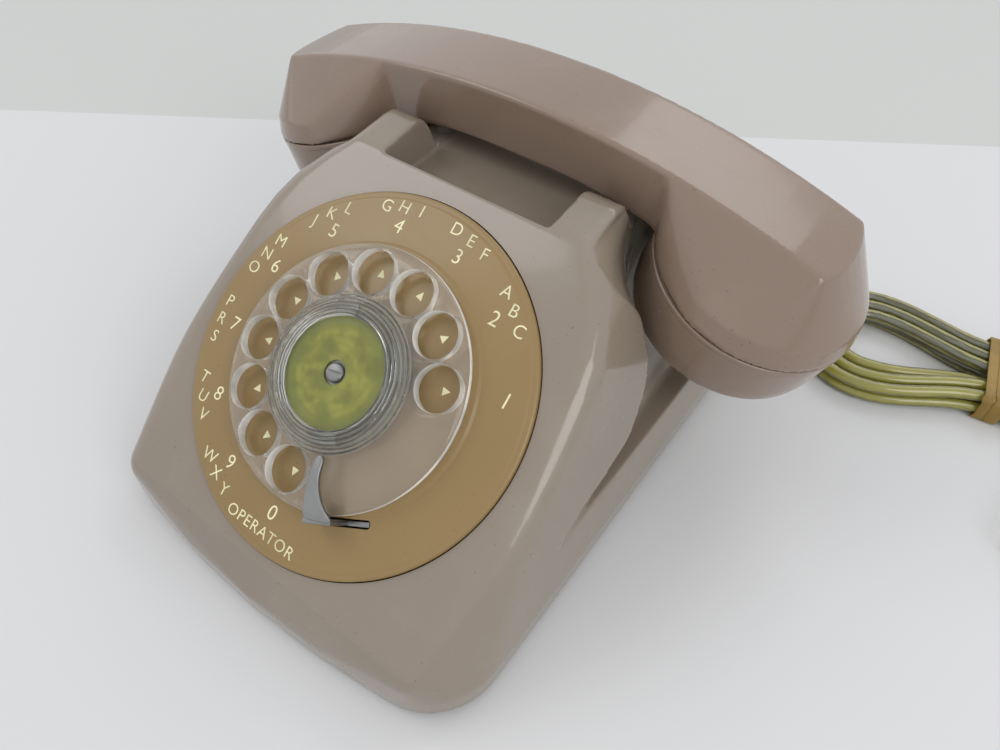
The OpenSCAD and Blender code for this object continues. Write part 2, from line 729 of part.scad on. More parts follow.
module hook_pivot() color(steel) translate([-bracket_x - bracket_t - 1, pivot_y, pivot_z]) rotate([0, 90, 0])
    cylinder(r = pivot_r, h = 2 * (bracket_x + bracket_t + 1));

module hook_bracket() color(steel) difference() {
    union() {
        for (side = [-1, 1]) {
            translate([side * (bracket_x + bracket_t / 2) - bracket_t / 2, pivot_y - bracket_d / 2, base_top])
                cube([bracket_t, bracket_d, pivot_z + 5 - base_top]);
            translate([side * (bracket_x + 5) - 5, pivot_y - bracket_d / 2, base_top])
                cube([10, bracket_d, bracket_t]);
        }
        translate([-bracket_x - bracket_t, pivot_y - bracket_d / 2, pivot_z - 14])
            cube([2 * (bracket_x + bracket_t), bracket_t, 8]);
    }
    translate([-half_w, pivot_y, pivot_z]) rotate([0, 90, 0]) cylinder(r = pivot_r, h = body_w);
}

module hook_contacts() color(brass) {
    low = pivot_z - 14;
    translate([-8, pivot_y - bracket_d / 2 + bracket_t, low]) cube([16, 5, 8]);
    for (i = [0:2]) translate([-5, pivot_y - bracket_d / 2 + bracket_t + 5, low + 1 + 2.6 * i])
        cube([10, 14, 0.4]);
}

// ---- Network, ringer ----

module network_block() color([0.25, 0.25, 0.27])
    translate([-network_w / 2, network_y - network_d / 2, base_top]) {
    cube([network_w, network_d, network_h]);
}

module network_screws() color(brass) for (i = [0:8], j = [0, 1])
    translate([(i - 4) * 7, network_y + (j - 0.5) * 12, base_top + network_h]) {
        cylinder(r = 2, h = 1.4);
    }

// Capacitor that lies on the dial bracket's cross plate, flush with its front edge
module capacitor() color([0.7, 0.7, 0.72])
    translate([leg_x - bracket_t - capacitor_r - 1, on_slope(-leg_reach, frame_h)[0],
        base_top + bracket_t + capacitor_r])
        rotate([-90, 0, 0]) cylinder(r = capacitor_r, h = capacitor_len);

// Slot round the loudness wheel, which reaches through the base
module loudness_slot() translate([loud_x - loud_t / 2 - 0.8, loud_y - loud_r, 0])
    cube([loud_t + 1.6, 2 * loud_r, base_top + ringer_t + 1]);

module ringer_frame() color(steel) difference() {
    union() {
        translate([-ringer_half, ringer_front, base_top])
            cube([2 * ringer_half, coil_y + 2 - ringer_front, ringer_t]);
        for (side = [-1, 1]) translate([side * gong_x, gong_y, base_top + 1])
            cylinder(r = gong_post_r, h = gong_low + gong_h - gong_t - base_top - 1);
        translate([0, clapper_pivot_y, base_top + 1])
            cylinder(r = clapper_pin_r, h = clapper_z + 3 - base_top);
        translate([loud_x - loud_t / 2 - 3, loud_y - 6, base_top])
            cube([ringer_t, ringer_front - loud_y + 8, loud_z + 4 - base_top]);
        translate([loud_x - loud_t / 2 - 2, loud_y, loud_z]) rotate([0, 90, 0])
            cylinder(r = pivot_r, h = loud_t + 2.6);
    }
    loudness_slot();
    for (side = [-1, 1]) translate([side * gong_x, gong_y, ringer_top + 2]) cylinder(r = 1, h = 40);
}

module gong(side) color(brass) translate([side * gong_x, gong_y, gong_low]) rotate_extrude() polygon([
    [1.1, gong_h], [1.1, gong_h - gong_t], [gong_r * 0.6, gong_h - gong_t], [gong_r * 0.88, gong_h * 0.7],
    [gong_r - gong_t, 0], [gong_r, 0], [gong_r * 0.93, gong_h * 0.74], [gong_r * 0.64, gong_h]
]);
module gong_left() gong(-1);
module gong_right() gong(1);

module gong_screws() color(steel) for (side = [-1, 1]) translate([side * gong_x, gong_y, gong_low + gong_h]) {
    cylinder(r = 3.6, h = 1.6);
    translate([0, 0, -8]) cylinder(r = 0.95, h = 8.5);
}

module ringer_coil() color([0.55, 0.25, 0.15]) translate([-coil_len / 2, coil_y, clapper_z])
    rotate([0, 90, 0]) difference() {
    cylinder(r = coil_r, h = coil_len);
    translate([0, 0, -1]) cylinder(r = core_r, h = coil_len + 2);
}

// Core, its two pole pieces and their feet on the ringer's plate
module ringer_core() color(steel) {
    translate([-coil_len / 2 - 3, coil_y, clapper_z]) rotate([0, 90, 0])
        cylinder(r = core_r, h = coil_len + 6);
    for (side = [-1, 1]) {
        translate([side * (coil_len / 2 + 1.8) - 1.2, clapper_pivot_y + pole_gap, clapper_z - 4])
            cube([2.4, coil_y - clapper_pivot_y - pole_gap + 3, 8]);
        translate([side * (coil_len / 2 + 1.8) - 1.2, coil_y - 3.5, ringer_top])
            cube([2.4, 3, clapper_z - ringer_top]);
    }
}

module clapper() color(steel) difference() {
    union() {
        translate([0, clapper_pivot_y, clapper_z - 3]) cylinder(r = 3.4, h = 6);
        translate([-coil_len / 2 - 4, clapper_pivot_y - 1, clapper_z - 3]) cube([coil_len + 8, 2, 6]);
        translate([0, gong_y, clapper_z]) rotate([-90, 0, 0]) cylinder(r = 0.8, h = clapper_pivot_y - gong_y);
        translate([0, gong_y, clapper_z]) sphere(r = clapper_ball_r);
    }
    translate([0, clapper_pivot_y, 0]) cylinder(r = clapper_pin_r + running_gap, h = 60);
}

module loudness_wheel() color(black_rubber) translate([loud_x - loud_t / 2, loud_y, loud_z])
    rotate([0, 90, 0]) difference() {
    linear_extrude(loud_t) polygon([for (i = [0:71]) (loud_r - (i % 3 == 0 ? 0.5 : 0)) * [cos(5 * i),
        sin(5 * i)]]);
    translate([0, 0, -1]) cylinder(r = pivot_r + running_gap, h = loud_t + 2);
}

// ---- Handset ----

// A rounded section of the handle at a distance x, drawn in by an inset
function handle_section(x, inset) =
    let (top = handle_top_z(x) - inset, low = handle_low_z(x) + inset, wide = handle_w / 2 - inset,
         under = wide - 2.2, r_top = 1.2, r_low = 4, middle = cradle_y)
    concat(
        [for (a = [0:45:90]) [x, middle + wide - r_top + r_top * sin(a), top - r_top + r_top * cos(a)]],
        [for (a = [90:30:180]) [x, middle + under - r_low + r_low * sin(a), low + r_low + r_low * cos(a)]],
        [for (a = [180:30:270]) [x, middle - under + r_low + r_low * sin(a), low + r_low + r_low * cos(a)]],
        [for (a = [270:45:360]) [x, middle - wide + r_top + r_top * sin(a), top - r_top + r_top * cos(a)]]
    );

module handle_form(inset, half) loft([for (i = [-9:9]) handle_section(half * i / 9, inset)]);

// The flared end, from the flat top down to the round seam
module cup_form(side) hull() {
    on_cap(side) cylinder(r = cap_r, h = 1.5, $fn = 64);
    on_cap(side) translate([0, 0, 1.5]) cylinder(r1 = cap_r, r2 = cap_r - 3.4, h = 4.5, $fn = 64);
    for (a = [facet_end * 0.62, facet_end * 0.82, facet_end - 0.7], across = [-1, 1])
        translate([side * handle_curve * sin(a), cradle_y + across * (handle_w / 2 - 3.4),
            handle_top - handle_curve])
            translate([0, 0, handle_curve * cos(a) - 2]) rotate([0, side * a, 0])
                cylinder(r1 = 3.6, r2 = 3.2, h = 2, $fn = 24);
}

module handset_body() color(beige) difference() {
    union() {
        handle_form(0, handle_half);
        for (side = [-1, 1]) {
            cup_form(side);
            on_cap(side) rotate_extrude() polygon([
                [collar_r - collar_t, -8], [collar_r, -8], [collar_r, 1], [collar_r - collar_t, 1]
            ]);
        }
    }
    handle_form(3, handle_half + 6);
    for (side = [-1, 1]) on_cap(side) rotate_extrude() polygon([
        [0, -9], [collar_r - collar_t, -9], [collar_r - collar_t, 1], [collar_r - collar_t - 1, 1.5],
            [15, 15.5], [0, 15.5]
    ]);
    inlet_place() cylinder(r = inlet_r - 1, h = 30, center = true);
}

// Cord inlet in the transmitter end, facing outwards and back
module inlet_place() translate([-cap_x - 24, cradle_y + 12, seam_z + 2]) rotate([0, -90, -30]) children();

// Perforated cap, with rings of small sound holes
module cap(side, rings) color(beige) on_cap(side) difference() {
    inner = cap_r - cap_wall;
    rotate_extrude($fn = 96) polygon([
        [0, -cap_depth], [cap_r - 8, -cap_depth], [cap_r - 4, -cap_depth + 1.2],
            [cap_r - 1.5, -cap_depth + 4],
        [cap_r - 0.5, -cap_depth + 9], [cap_r, -fit_gap], [inner, -fit_gap], [inner - 0.5, -cap_depth + 8],
        [inner - 3.5, -cap_depth + 3.4], [0, -cap_depth + 3.4]
    ]);
    translate([0, 0, -cap_depth - 1]) {
        cylinder(r = 1.3, h = 6, $fn = 24);
        for (ring = rings) ring_of(ring[0], 0, 360 / ring[1], ring[1]) cylinder(r = 1.3, h = 6, $fn = 24);
    }
}
module receiver_cap() cap(1, [[6, 6]]);
module transmitter_cap() cap(-1, [[5, 6], [10, 12], [15, 18]]);

module receiver_capsule() color(steel) on_cap(1) translate([0, 0, -cap_depth + 3.4 + fit_gap]) {
    cylinder(r = capsule_r, h = 8);
    cylinder(r = capsule_r - 8, h = 12);
}
module transmitter_capsule() color(brass) on_cap(-1) translate([0, 0, -cap_depth + 3.4 + fit_gap]) {
    cylinder(r = capsule_r, h = 5);
    cylinder(r = capsule_r - 12, h = 9);
}
module transmitter_cup() color([0.2, 0.2, 0.2]) on_cap(-1)
    translate([0, 0, -cap_depth + 3.4 + 2 * fit_gap + 9]) {
    cylinder(r = collar_r - collar_t - fit_gap, h = 3);
    for (side = [-1, 1]) translate([side * 8, 0, 3]) cylinder(r = 2, h = 2);
}

// A bush lining a cord's hole in the wall, flush outside, with a lip inside
module handset_inlet() color(black_rubber) inlet_place() translate([0, 0, -4]) difference() {
    cylinder(r = inlet_r - 1 - 0.05, h = 8);
    translate([0, 0, -1]) cylinder(r = inlet_r - 2.2, h = 12);
}
module body_inlet() color(black_rubber) translate([-exit_x, rear_y, exit_z]) rotate([-90, 0, 0])
    rotate_extrude() polygon([
    [inlet_r - 1.6, -wall - 1.6], [inlet_r + 1.2, -wall - 1.6], [inlet_r + 1.2, -wall - fit_gap],
    [inlet_r - 0.1, -wall - fit_gap], [inlet_r - 0.1, -0.4], [inlet_r - 0.5, 0], [inlet_r - 1.6, 0]
]);

// ---- Line cord ----

// Tapered strain relief where the line cord leaves the back
module line_grommet() color(olive) translate([exit_x, rear_y, exit_z]) rotate([-90, 0, 0])
    rotate_extrude() polygon([
    [cord_r * 0.5, -wall - 2], [cord_r + 2.6, -wall - 2], [cord_r + 2.6, -wall - 0.3],
        [cord_r + 1.3, -wall - 0.3],
    [cord_r + 1.3, 0.2], [cord_r + 2.6, 0.2], [cord_r + 2.2, 2], [cord_r + 0.5, grommet_out],
        [0, grommet_out], [0, -wall - 2]
]);

function smooth(t) = t * t * (3 - 2 * t);
// Radius of the winding at a turn: it draws in to the middle turn, and out again
function hank_radius(t) = hank_outer - hank_step * min(t, hank_turns - t);
// Layer at a turn: the climb takes most of the run before the middle turn
function hank_layer(t) = let (q = 4 * (t - hank_turns / 2) + 1)
    smooth(max(0, min(1, (q - climb_from) / (1 - climb_from))));
// Place of a turn beside the hank's middle, and how far it is into the waist: run, fold, run back, fold
function hank_flat(t) =
    let (q = 4 * (t - floor(t)), r = hank_radius(t),
         s = hank_a * (q < 2 ? 2 * min(q, 1) - 1 : 1 - 2 * min(q - 2, 1)),
             waist = pow(cos(90 * s / hank_a), 2))
    q < 1 ? [s, r - hank_in * waist, waist]
    : q < 2 ? [hank_a + r * sin(180 * (q - 1)), r * cos(180 * (q - 1)), 0]
    : q < 3 ? [s, -r + hank_in * waist, waist]
    : [-hank_a - r * sin(180 * (q - 3)), -r * cos(180 * (q - 3)), 0];
function hank_point(t) =
    let (p = hank_flat(t), z = cord_r + 0.05 + hank_layer_h * hank_layer(t) + hank_lift * p[2])
    [hank_at[0] + p[0] * cos(hank_turn) - p[1] * sin(hank_turn),
     hank_at[1] + p[0] * sin(hank_turn) + p[1] * cos(hank_turn), z];
hank_along = [cos(hank_turn), sin(hank_turn), 0];
// Both ends run straight for one diameter
hank_rings = concat(
    [hank_point(0) - cord_d * hank_along],
    [for (i = [0:hank_turns * rings_per_turn]) hank_point(i / rings_per_turn)],
    [hank_point(hank_turns) - cord_d * hank_along]
);

// Least gap between stretches of the hank that are more than a third of a turn apart
hank_probe = [for (i = [0:hank_turns * 60]) hank_point(i / 60)];
hank_gaps = [for (i = [0:len(hank_probe) - 1], j = [i + 20:len(hank_probe) - 1])
    norm(hank_probe[i] - hank_probe[j])];
echo(hank_least_gap = min(hank_gaps) - cord_d);
function length_of(route) = len(route) < 2 ? 0 : [for (i = [1:len(route) - 1])
    norm(route[i] - route[i - 1])] * [for (i = [1:len(route) - 1]) 1];
echo(hank_start = hank_rings[0], hank_end = hank_rings[len(hank_rings) - 1],
    hank_length = length_of(hank_probe));
echo(lead_length = length_of(lead_route), tail_length = length_of(tail_route));

module line_cord_lead() color(olive) tube(concat(lead_route, [hank_rings[0]]), cord_r, 10);
module line_cord_hank() color(olive) tube(hank_rings, cord_r, 6);
module line_cord_tail() color(olive) tube(concat([hank_rings[len(hank_rings) - 1]], tail_route), cord_r, 10);

module tie_outline(x0, x1, y0, y1, cut) polygon([
    [x0 + cut, y0], [x1 - cut, y0], [x1, y0 + cut], [x1, y1 - cut],
    [x1 - cut, y1], [x0 + cut, y1], [x0, y1 - cut], [x0, y0 + cut]
]);
module cord_tie() color([0.55, 0.45, 0.2]) translate([hank_at[0], hank_at[1], 0]) rotate(hank_turn) {
    left = hank_radius(1 / 8) - hank_in + cord_r + tie_gap;
    right = hank_radius(5 / 8) - hank_in + cord_r + tie_gap;
    high = hank_layer_h + cord_d + hank_lift + tie_gap + 0.05;
    rotate([90, 0, 90]) translate([0, 0, -tie_w / 2]) linear_extrude(tie_w) difference() {
        tie_outline(-right - tie_t, left + tie_t, 0, high + tie_t, 2.4);
        tie_outline(-right, left, tie_t, high, 1.4);
    }
}

module line_plug() color(clear_plastic) {
    last = tail_route[len(tail_route) - 1];
    translate([last[0] - plug_w / 2, last[1] - plug_l, 0]) cube([plug_w, plug_l, plug_h]);
    translate([last[0] - 3, last[1] - plug_l + 3, plug_h]) cube([6, plug_l - 5, 1]);
}

housing();
base_plate();
rubber_feet();
housing_screws();
number_plate();
finger_stop();
dial_frame();
dial_bracket();
dial_screws();
motor_spring();
pulse_springs();
governor_cup();
finger_wheel();
centre_ring();
number_card();
centre_lens();
clamp_plate();
centre_screw();
dial_shaft();
main_gear();
pulse_shaft();
pulse_cam();
governor_gear();
governor_shaft();
governor_weights();
plunger_left();
plunger_right();
hook_lever();
hook_pivot();
hook_bracket();
hook_contacts();
network_block();
network_screws();
capacitor();
ringer_frame();
ringer_coil();
ringer_core();
gong_left();
gong_right();
gong_screws();
clapper();
loudness_wheel();
handset_body();
receiver_cap();
transmitter_cap();
receiver_capsule();
transmitter_capsule();
transmitter_cup();
handset_inlet();
body_inlet();
line_grommet();
line_cord_lead();
line_cord_hank();
line_cord_tail();
cord_tie();
line_plug();
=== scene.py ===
import bpy, bmesh, json
from math import pi, sin, cos, tan, asin, sqrt, radians, floor
from mathutils import Vector, Matrix


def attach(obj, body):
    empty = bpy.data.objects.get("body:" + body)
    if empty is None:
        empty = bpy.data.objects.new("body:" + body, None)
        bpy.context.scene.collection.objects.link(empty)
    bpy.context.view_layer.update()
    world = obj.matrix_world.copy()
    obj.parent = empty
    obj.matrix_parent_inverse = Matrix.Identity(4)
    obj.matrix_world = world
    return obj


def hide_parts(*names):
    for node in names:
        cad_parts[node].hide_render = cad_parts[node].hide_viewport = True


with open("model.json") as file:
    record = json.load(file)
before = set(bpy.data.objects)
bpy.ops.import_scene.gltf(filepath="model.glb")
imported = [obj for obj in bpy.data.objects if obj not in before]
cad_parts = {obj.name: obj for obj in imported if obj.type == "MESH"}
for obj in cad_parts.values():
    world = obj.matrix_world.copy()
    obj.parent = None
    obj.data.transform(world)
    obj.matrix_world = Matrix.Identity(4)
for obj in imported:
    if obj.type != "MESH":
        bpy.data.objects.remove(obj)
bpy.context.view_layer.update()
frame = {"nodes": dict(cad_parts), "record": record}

mm = 0.001


# Finishes: sockets that can be used in sums, and one way to add any node

class Wire:
    def __init__(self, finish, socket):
        self.finish, self.socket = finish, socket

    def calc(self, operation, *others, clamp=False):
        values = dict(enumerate((self,) + others))
        return self.finish.node("ShaderNodeMath", {"operation": operation, "use_clamp": clamp}, values)

    def __add__(self, other):
        return self.calc("ADD", other)

    def __sub__(self, other):
        return self.calc("SUBTRACT", other)

    def __rsub__(self, other):
        return (self * -1) + other

    def __mul__(self, other):
        return self.calc("MULTIPLY", other)

    __radd__ = __add__
    __rmul__ = __mul__


class Nodes:
    def __init__(self, owner):
        owner.use_nodes = True
        self.tree = owner.node_tree

    def feed(self, socket, value):
        if isinstance(value, Wire):
            self.tree.links.new(value.socket, socket)
        elif hasattr(value, "__len__") and len(value) == 3 and socket.type == "RGBA":
            socket.default_value = tuple(value) + (1,)
        else:
            socket.default_value = value

    def node(self, kind, settings, sockets, out=0):
        made = self.tree.nodes.new(kind)
        for key, value in settings.items():
            if key == "stops":
                while len(made.color_ramp.elements) < len(value):
                    made.color_ramp.elements.new(0.5)
                for stop, (place, tone) in zip(made.color_ramp.elements, value):
                    stop.position, stop.color = place, tuple(tone) + (1,)
            else:
                setattr(made, key, value)
        for key, value in sockets.items():
            self.feed(made.inputs[key], value)
        return None if out is None else Wire(self, made.outputs[out])


class Finish(Nodes):
    def __init__(self, name):
        self.material = bpy.data.materials.new(name)
        super().__init__(self.material)
        self.tree.nodes.clear()
        self.shader = self.node("ShaderNodeBsdfPrincipled", {}, {}, out="BSDF")
        self.node("ShaderNodeOutputMaterial", {}, {"Surface": self.shader}, out=None)

    def set(self, **sockets):
        for key, value in sockets.items():
            self.feed(self.shader.socket.node.inputs[key.replace("_", " ")], value)
        return self

    def coords(self, kind="Object"):
        return self.node("ShaderNodeTexCoord", {}, {}, out=kind)

    def noise(self, scale, detail=3, rough=0.5, at=None, stretch=None):
        place = at or self.coords()
        if stretch:
            place = self.node("ShaderNodeMapping", {}, {"Vector": place, "Scale": stretch})
        return self.node("ShaderNodeTexNoise", {},
                         {"Vector": place, "Scale": scale, "Detail": detail, "Roughness": rough})

    def ramp(self, value, low, high):
        # 0 below low, 1 above high, smooth between
        return self.node("ShaderNodeMapRange", {"interpolation_type": "SMOOTHSTEP"},
                         {"Value": value, "From Min": low, "From Max": high})

    def mix(self, factor, first, second, blend="MIX"):
        return self.node("ShaderNodeMix", {"data_type": "RGBA", "blend_type": blend},
                         {0: factor, 6: first, 7: second}, out=2)

    def vectorMath(self, operation, first, second):
        return self.node("ShaderNodeVectorMath", {"operation": operation}, {0: first, 1: second}, out="Value")

    def bump(self, height, strength, distance):
        return self.node("ShaderNodeBump", {}, {"Height": height, "Strength": strength, "Distance": distance})


def shade(tone, by):
    return tuple(min(1, c * by) for c in tone)


def mouldedPlastic(name, tone, look):
    # glossy thermoplastic: slow drift of the tone, handling film, a few specks and hairline scratches
    f = Finish(name)
    drift = f.noise(14, 2)
    film = f.noise(55, 5, 0.62)
    specks = f.ramp(f.noise(900, 1), look.get("specks", 0.755), look.get("specks", 0.755) + 0.02)
    scratches = f.ramp(f.noise(95, 2, 0.5, stretch=(1, 9, 3)), 0.66, 0.72)
    worn = f.ramp(film, 0.5, 0.72)
    tones = f.mix(f.ramp(drift, 0.3, 0.7), shade(tone, 0.96), shade(tone, 1.04))
    tones = f.mix(worn * look.get("film", 0.04), tones, look.get("dust", (0.45, 0.42, 0.36)))
    tones = f.mix(specks * 0.55, tones, shade(tone, 0.35))
    f.set(Base_Color=tones, Roughness=look["rough"] + worn * look.get("dull", 0.1) + scratches * 0.06,
          Normal=f.bump(f.noise(260, 2) * 0.6 + film * 0.4, look.get("bump", 0.06), 0.0002),
          Specular_IOR_Level=0.5, Coat_Weight=look.get("coat", 0.0), Coat_Roughness=0.06, IOR=1.5)
    return f.material


def clearPlastic(name, tone, look):
    f = Finish(name)
    smear = f.noise(70, 4, 0.6)
    fine = f.ramp(f.noise(240, 2, 0.5, stretch=(1, 6, 1)), 0.6, 0.75)
    f.set(Base_Color=f.mix(f.ramp(smear, 0.35, 0.7), tone, shade(tone, look.get("dim", 0.96))),
          Roughness=look["rough"] + f.ramp(smear, 0.5, 0.8) * 0.08 + fine * 0.05,
          Normal=f.bump(smear, 0.03, 0.0002),
          Transmission_Weight=look["clear"], IOR=look["bend"], Specular_IOR_Level=0.6,
          Coat_Weight=look.get("coat", 0.5), Coat_Roughness=0.03, Coat_IOR=1.5)
    return f.material


def metal(name, tone, look):
    f = Finish(name)
    cloud = f.noise(60, 4, 0.6)
    grain = f.noise(420, 2, 0.5, stretch=look.get("grain", (1, 14, 1)))
    spots = f.ramp(f.noise(150, 3, 0.6), 0.62, 0.74)
    tones = f.mix(f.ramp(cloud, 0.3, 0.75), shade(tone, 0.86), shade(tone, 1.06))
    tones = f.mix(spots * look.get("tarnish", 0.3), tones, look.get("stain", (0.20, 0.17, 0.12)))
    f.set(Base_Color=tones, Roughness=look["rough"] + cloud * 0.14 + spots * 0.12,
          Metallic=1 - spots * 0.25, Normal=f.bump(grain, 0.12, 0.0001))
    return f.material


def dullSolid(name, tone, look):
    f = Finish(name)
    cloud = f.noise(90, 4, 0.6)
    dust = f.ramp(f.noise(36, 5, 0.65), 0.5, 0.75)
    tones = f.mix(f.ramp(cloud, 0.3, 0.7), shade(tone, 0.8), shade(tone, 1.15))
    tones = f.mix(dust * look.get("dust", 0.15), tones, (0.35, 0.32, 0.28))
    f.set(Base_Color=tones, Roughness=look["rough"] + dust * 0.12, Normal=f.bump(cloud, 0.25, 0.0003))
    return f.material


finishes = {
    "housing": mouldedPlastic("housing_plastic", (0.252, 0.207, 0.160),
                              {"rough": 0.18, "film": 0.05, "coat": 0.4}),
    "handset": mouldedPlastic("handset_plastic", (0.242, 0.172, 0.128), {"rough": 0.18, "coat": 0.25}),
    "plate": mouldedPlastic("number_plate_plastic", (0.272, 0.178, 0.066), {"rough": 0.30, "film": 0.02}),
    "characters": dullSolid("character_paint", (0.80, 0.75, 0.46), {"rough": 0.45, "dust": 0.03}),
    "clear": clearPlastic("wheel_clear", (0.95, 0.92, 0.88), {"rough": 0.03, "clear": 0.93, "bend": 1.18}),
    # the finger holes' upright walls: nearly white and only a quarter clear, a painted highlight for the
    # light they catch, mottled darker at random by noise
    "clearWallGlint": clearPlastic("wheel_walls", (0.98, 0.98, 0.95),
                              {"rough": 0.06, "clear": 0.25, "bend": 1.4, "dim": 0.62}),
    "lens": clearPlastic("lens_clear", (0.97, 0.98, 0.93),
                         {"rough": 0.02, "clear": 1.0, "bend": 1.08, "coat": 0.1}),
    "card": dullSolid("card_edge", (0.36, 0.36, 0.07), {"rough": 0.6, "dust": 0.1}),
    "zinc": metal("zinc_plate", (0.30, 0.30, 0.29), {"rough": 0.42, "tarnish": 0.35}),
    "steel": metal("bare_steel", (0.27, 0.27, 0.265), {"rough": 0.30, "tarnish": 0.15}),
    "brass": metal("brass", (0.72, 0.54, 0.24), {"rough": 0.24, "tarnish": 0.4, "stain": (0.25, 0.15, 0.06)}),
    "rubber": dullSolid("foot_rubber", (0.035, 0.034, 0.032), {"rough": 0.72}),
    "black": dullSolid("black_bakelite", (0.03, 0.028, 0.027), {"rough": 0.35}),
    "coil": dullSolid("taped_coil", (0.33, 0.12, 0.06), {"rough": 0.5}),
    "tie": dullSolid("tie_rubber", (0.27, 0.165, 0.028), {"rough": 0.42, "dust": 0.08}),
}
slotFinish = {
    "beige_shell": "housing", "dial_amber": "plate", "clear_plastic": "clear", "card": "card",
    "steel": "steel", "zinc": "zinc", "brass": "brass", "rubber": "rubber", "black_plastic": "black",
    "copper_coil": "coil", "cord_olive": "rubber", "tie_ochre": "tie",
}
print("finishes made:", len(finishes))


# Mesh helpers. Pieces are shaped in millimetres and brought to metres when finished.

def rounded(points, radius, steps=4, closed=True):
    # the same outline with its corners turned into short curves
    done, count = [], len(points)
    for i in range(count):
        p = Vector(points[i])
        if not closed and i in (0, count - 1):
            done.append(p)
            continue
        back, on = Vector(points[i - 1]) - p, Vector(points[(i + 1) % count]) - p
        reach = min(radius, 0.45 * back.length, 0.45 * on.length)
        a, b = p + back.normalized() * reach, p + on.normalized() * reach
        for k in range(steps + 1):
            t = k / steps
            done.append(a * (1 - t) ** 2 + p * (2 * t * (1 - t)) + b * t ** 2)
    return done


def cleaned(bm):
    bmesh.ops.remove_doubles(bm, verts=bm.verts, dist=0.0005)
    bmesh.ops.recalc_face_normals(bm, faces=bm.faces)
    return bm


def spun(points, steps=96):
    # solid of revolution from an outline of (radius, height); one that starts on the axis is open there
    bm = bmesh.new()
    verts = [bm.verts.new((p[0], 0, p[1])) for p in points]
    edges = [bm.edges.new(pair) for pair in zip(verts, verts[1:])]
    if points[0][0] > 0.001:
        edges.append(bm.edges.new((verts[-1], verts[0])))
    bmesh.ops.spin(bm, geom=verts + edges, cent=(0, 0, 0), axis=(0, 0, 1), angle=2 * pi,
                   steps=steps, use_merge=True, use_duplicate=False)
    return cleaned(bm)


def slab(points, low, high):
    bm = bmesh.new()
    face = bm.faces.new([bm.verts.new((p[0], p[1], low)) for p in points])
    grown = bmesh.ops.extrude_face_region(bm, geom=[face])
    lifted = [g for g in grown["geom"] if isinstance(g, bmesh.types.BMVert)]
    bmesh.ops.translate(bm, verts=lifted, vec=(0, 0, high - low))
    return cleaned(bm)


def lofted(rings, endless=False):
    # solid through rings that have as many points each, with two ends or joined up
    bm, loops = bmesh.new(), []
    for ring in rings:
        verts = [bm.verts.new(p) for p in ring]
        loops.append([bm.edges.new(pair) for pair in zip(verts, verts[1:] + verts[:1])])
    for first, second in zip(loops, loops[1:] + loops[:int(endless)]):
        bmesh.ops.bridge_loops(bm, edges=first + second)
    for end in () if endless else (loops[0], loops[-1]):
        bmesh.ops.edgeloop_fill(bm, edges=end)
    return cleaned(bm)


def hulled(bm):
    bmesh.ops.delete(bm, geom=bm.edges[:] + bm.faces[:], context="EDGES_FACES")
    bmesh.ops.convex_hull(bm, input=bm.verts)
    bmesh.ops.delete(bm, geom=[v for v in bm.verts if not v.link_faces], context="VERTS")
    return cleaned(bm)


def addBall(bm, at, radius, segments=40):
    bmesh.ops.create_uvsphere(bm, u_segments=segments, v_segments=segments // 2, radius=radius,
                              matrix=Matrix.Translation(at))


def addRod(bm, at, low, high, lowRadius, highRadius=None, segments=96, place=None):
    middle = Matrix.Translation((at[0], at[1], (low + high) / 2))
    bmesh.ops.create_cone(bm, cap_ends=True, segments=segments, radius1=lowRadius,
                          radius2=lowRadius if highRadius is None else highRadius, depth=high - low,
                          matrix=(place or Matrix()) @ middle)


def merged(bm, *others):
    # puts copies of the other shapes into the first one
    for other in others:
        carrier = bpy.data.meshes.new("carrier")
        other.to_mesh(carrier)
        other.free()
        bm.from_mesh(carrier)
        bpy.data.meshes.remove(carrier)
    return bm


def moved(bm, place):
    bmesh.ops.transform(bm, matrix=place, verts=bm.verts)
    return bm


def around(radius, angle, height=0):
    # a place on a circle about the upright axis
    return Matrix.Translation((radius * cos(radians(angle)), radius * sin(radians(angle)), height))


def softened(bm, width, angle=30, segments=3):
    # bevels every edge sharper than the angle
    sharp = [e for e in bm.edges if len(e.link_faces) == 2 and e.calc_face_angle() > radians(angle)]
    bmesh.ops.bevel(bm, geom=sharp, offset=width, offset_type="OFFSET", affect="EDGES", segments=segments,
                    profile=0.5, material=-1, clamp_overlap=True)
    return bm


def placed(name, data):
    obj = bpy.data.objects.new(name, data)
    bpy.context.scene.collection.objects.link(obj)
    return obj


def settled(obj):
    # the mesh that a curve, a text or an object with modifiers comes to
    graph = bpy.context.evaluated_depsgraph_get()
    return bpy.data.meshes.new_from_object(obj.evaluated_get(graph), depsgraph=graph)


def asObject(bm, name="part"):
    mesh = bpy.data.meshes.new(name)
    bm.to_mesh(mesh)
    bm.free()
    return placed(name, mesh)


def modified(obj, kind, **settings):
    # adds one modifier and settles it into the mesh
    step = obj.modifiers.new(kind.lower(), kind)
    for key, value in settings.items():
        setattr(step, key, value)
    fresh = settled(obj)
    obj.modifiers.clear()
    old, obj.data = obj.data, fresh
    bpy.data.meshes.remove(old)
    return obj


def carved(obj, tool, operation="DIFFERENCE", solver="MANIFOLD"):
    if isinstance(tool, bmesh.types.BMesh):
        tool = asObject(tool, "tool")
    modified(obj, "BOOLEAN", operation=operation, object=tool, solver=solver)
    old = tool.data
    bpy.data.objects.remove(tool)
    bpy.data.meshes.remove(old)
    return obj


def finishPiece(source, name, finish, body, slotName, *nodes, place=None, sharp=35):
    obj = source if isinstance(source, bpy.types.Object) else asObject(source)
    obj.name = obj.data.name = name
    obj.data.transform(Matrix.Scale(mm, 4) @ (place or Matrix()))
    obj.data.materials.clear()
    obj.data.materials.append(finish if isinstance(finish, bpy.types.Material) else finishes[finish])
    obj.data.shade_smooth()
    obj.data.set_sharp_from_angle(angle=radians(sharp))
    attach(obj, body)
    if nodes:
        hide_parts(*nodes)
    return obj


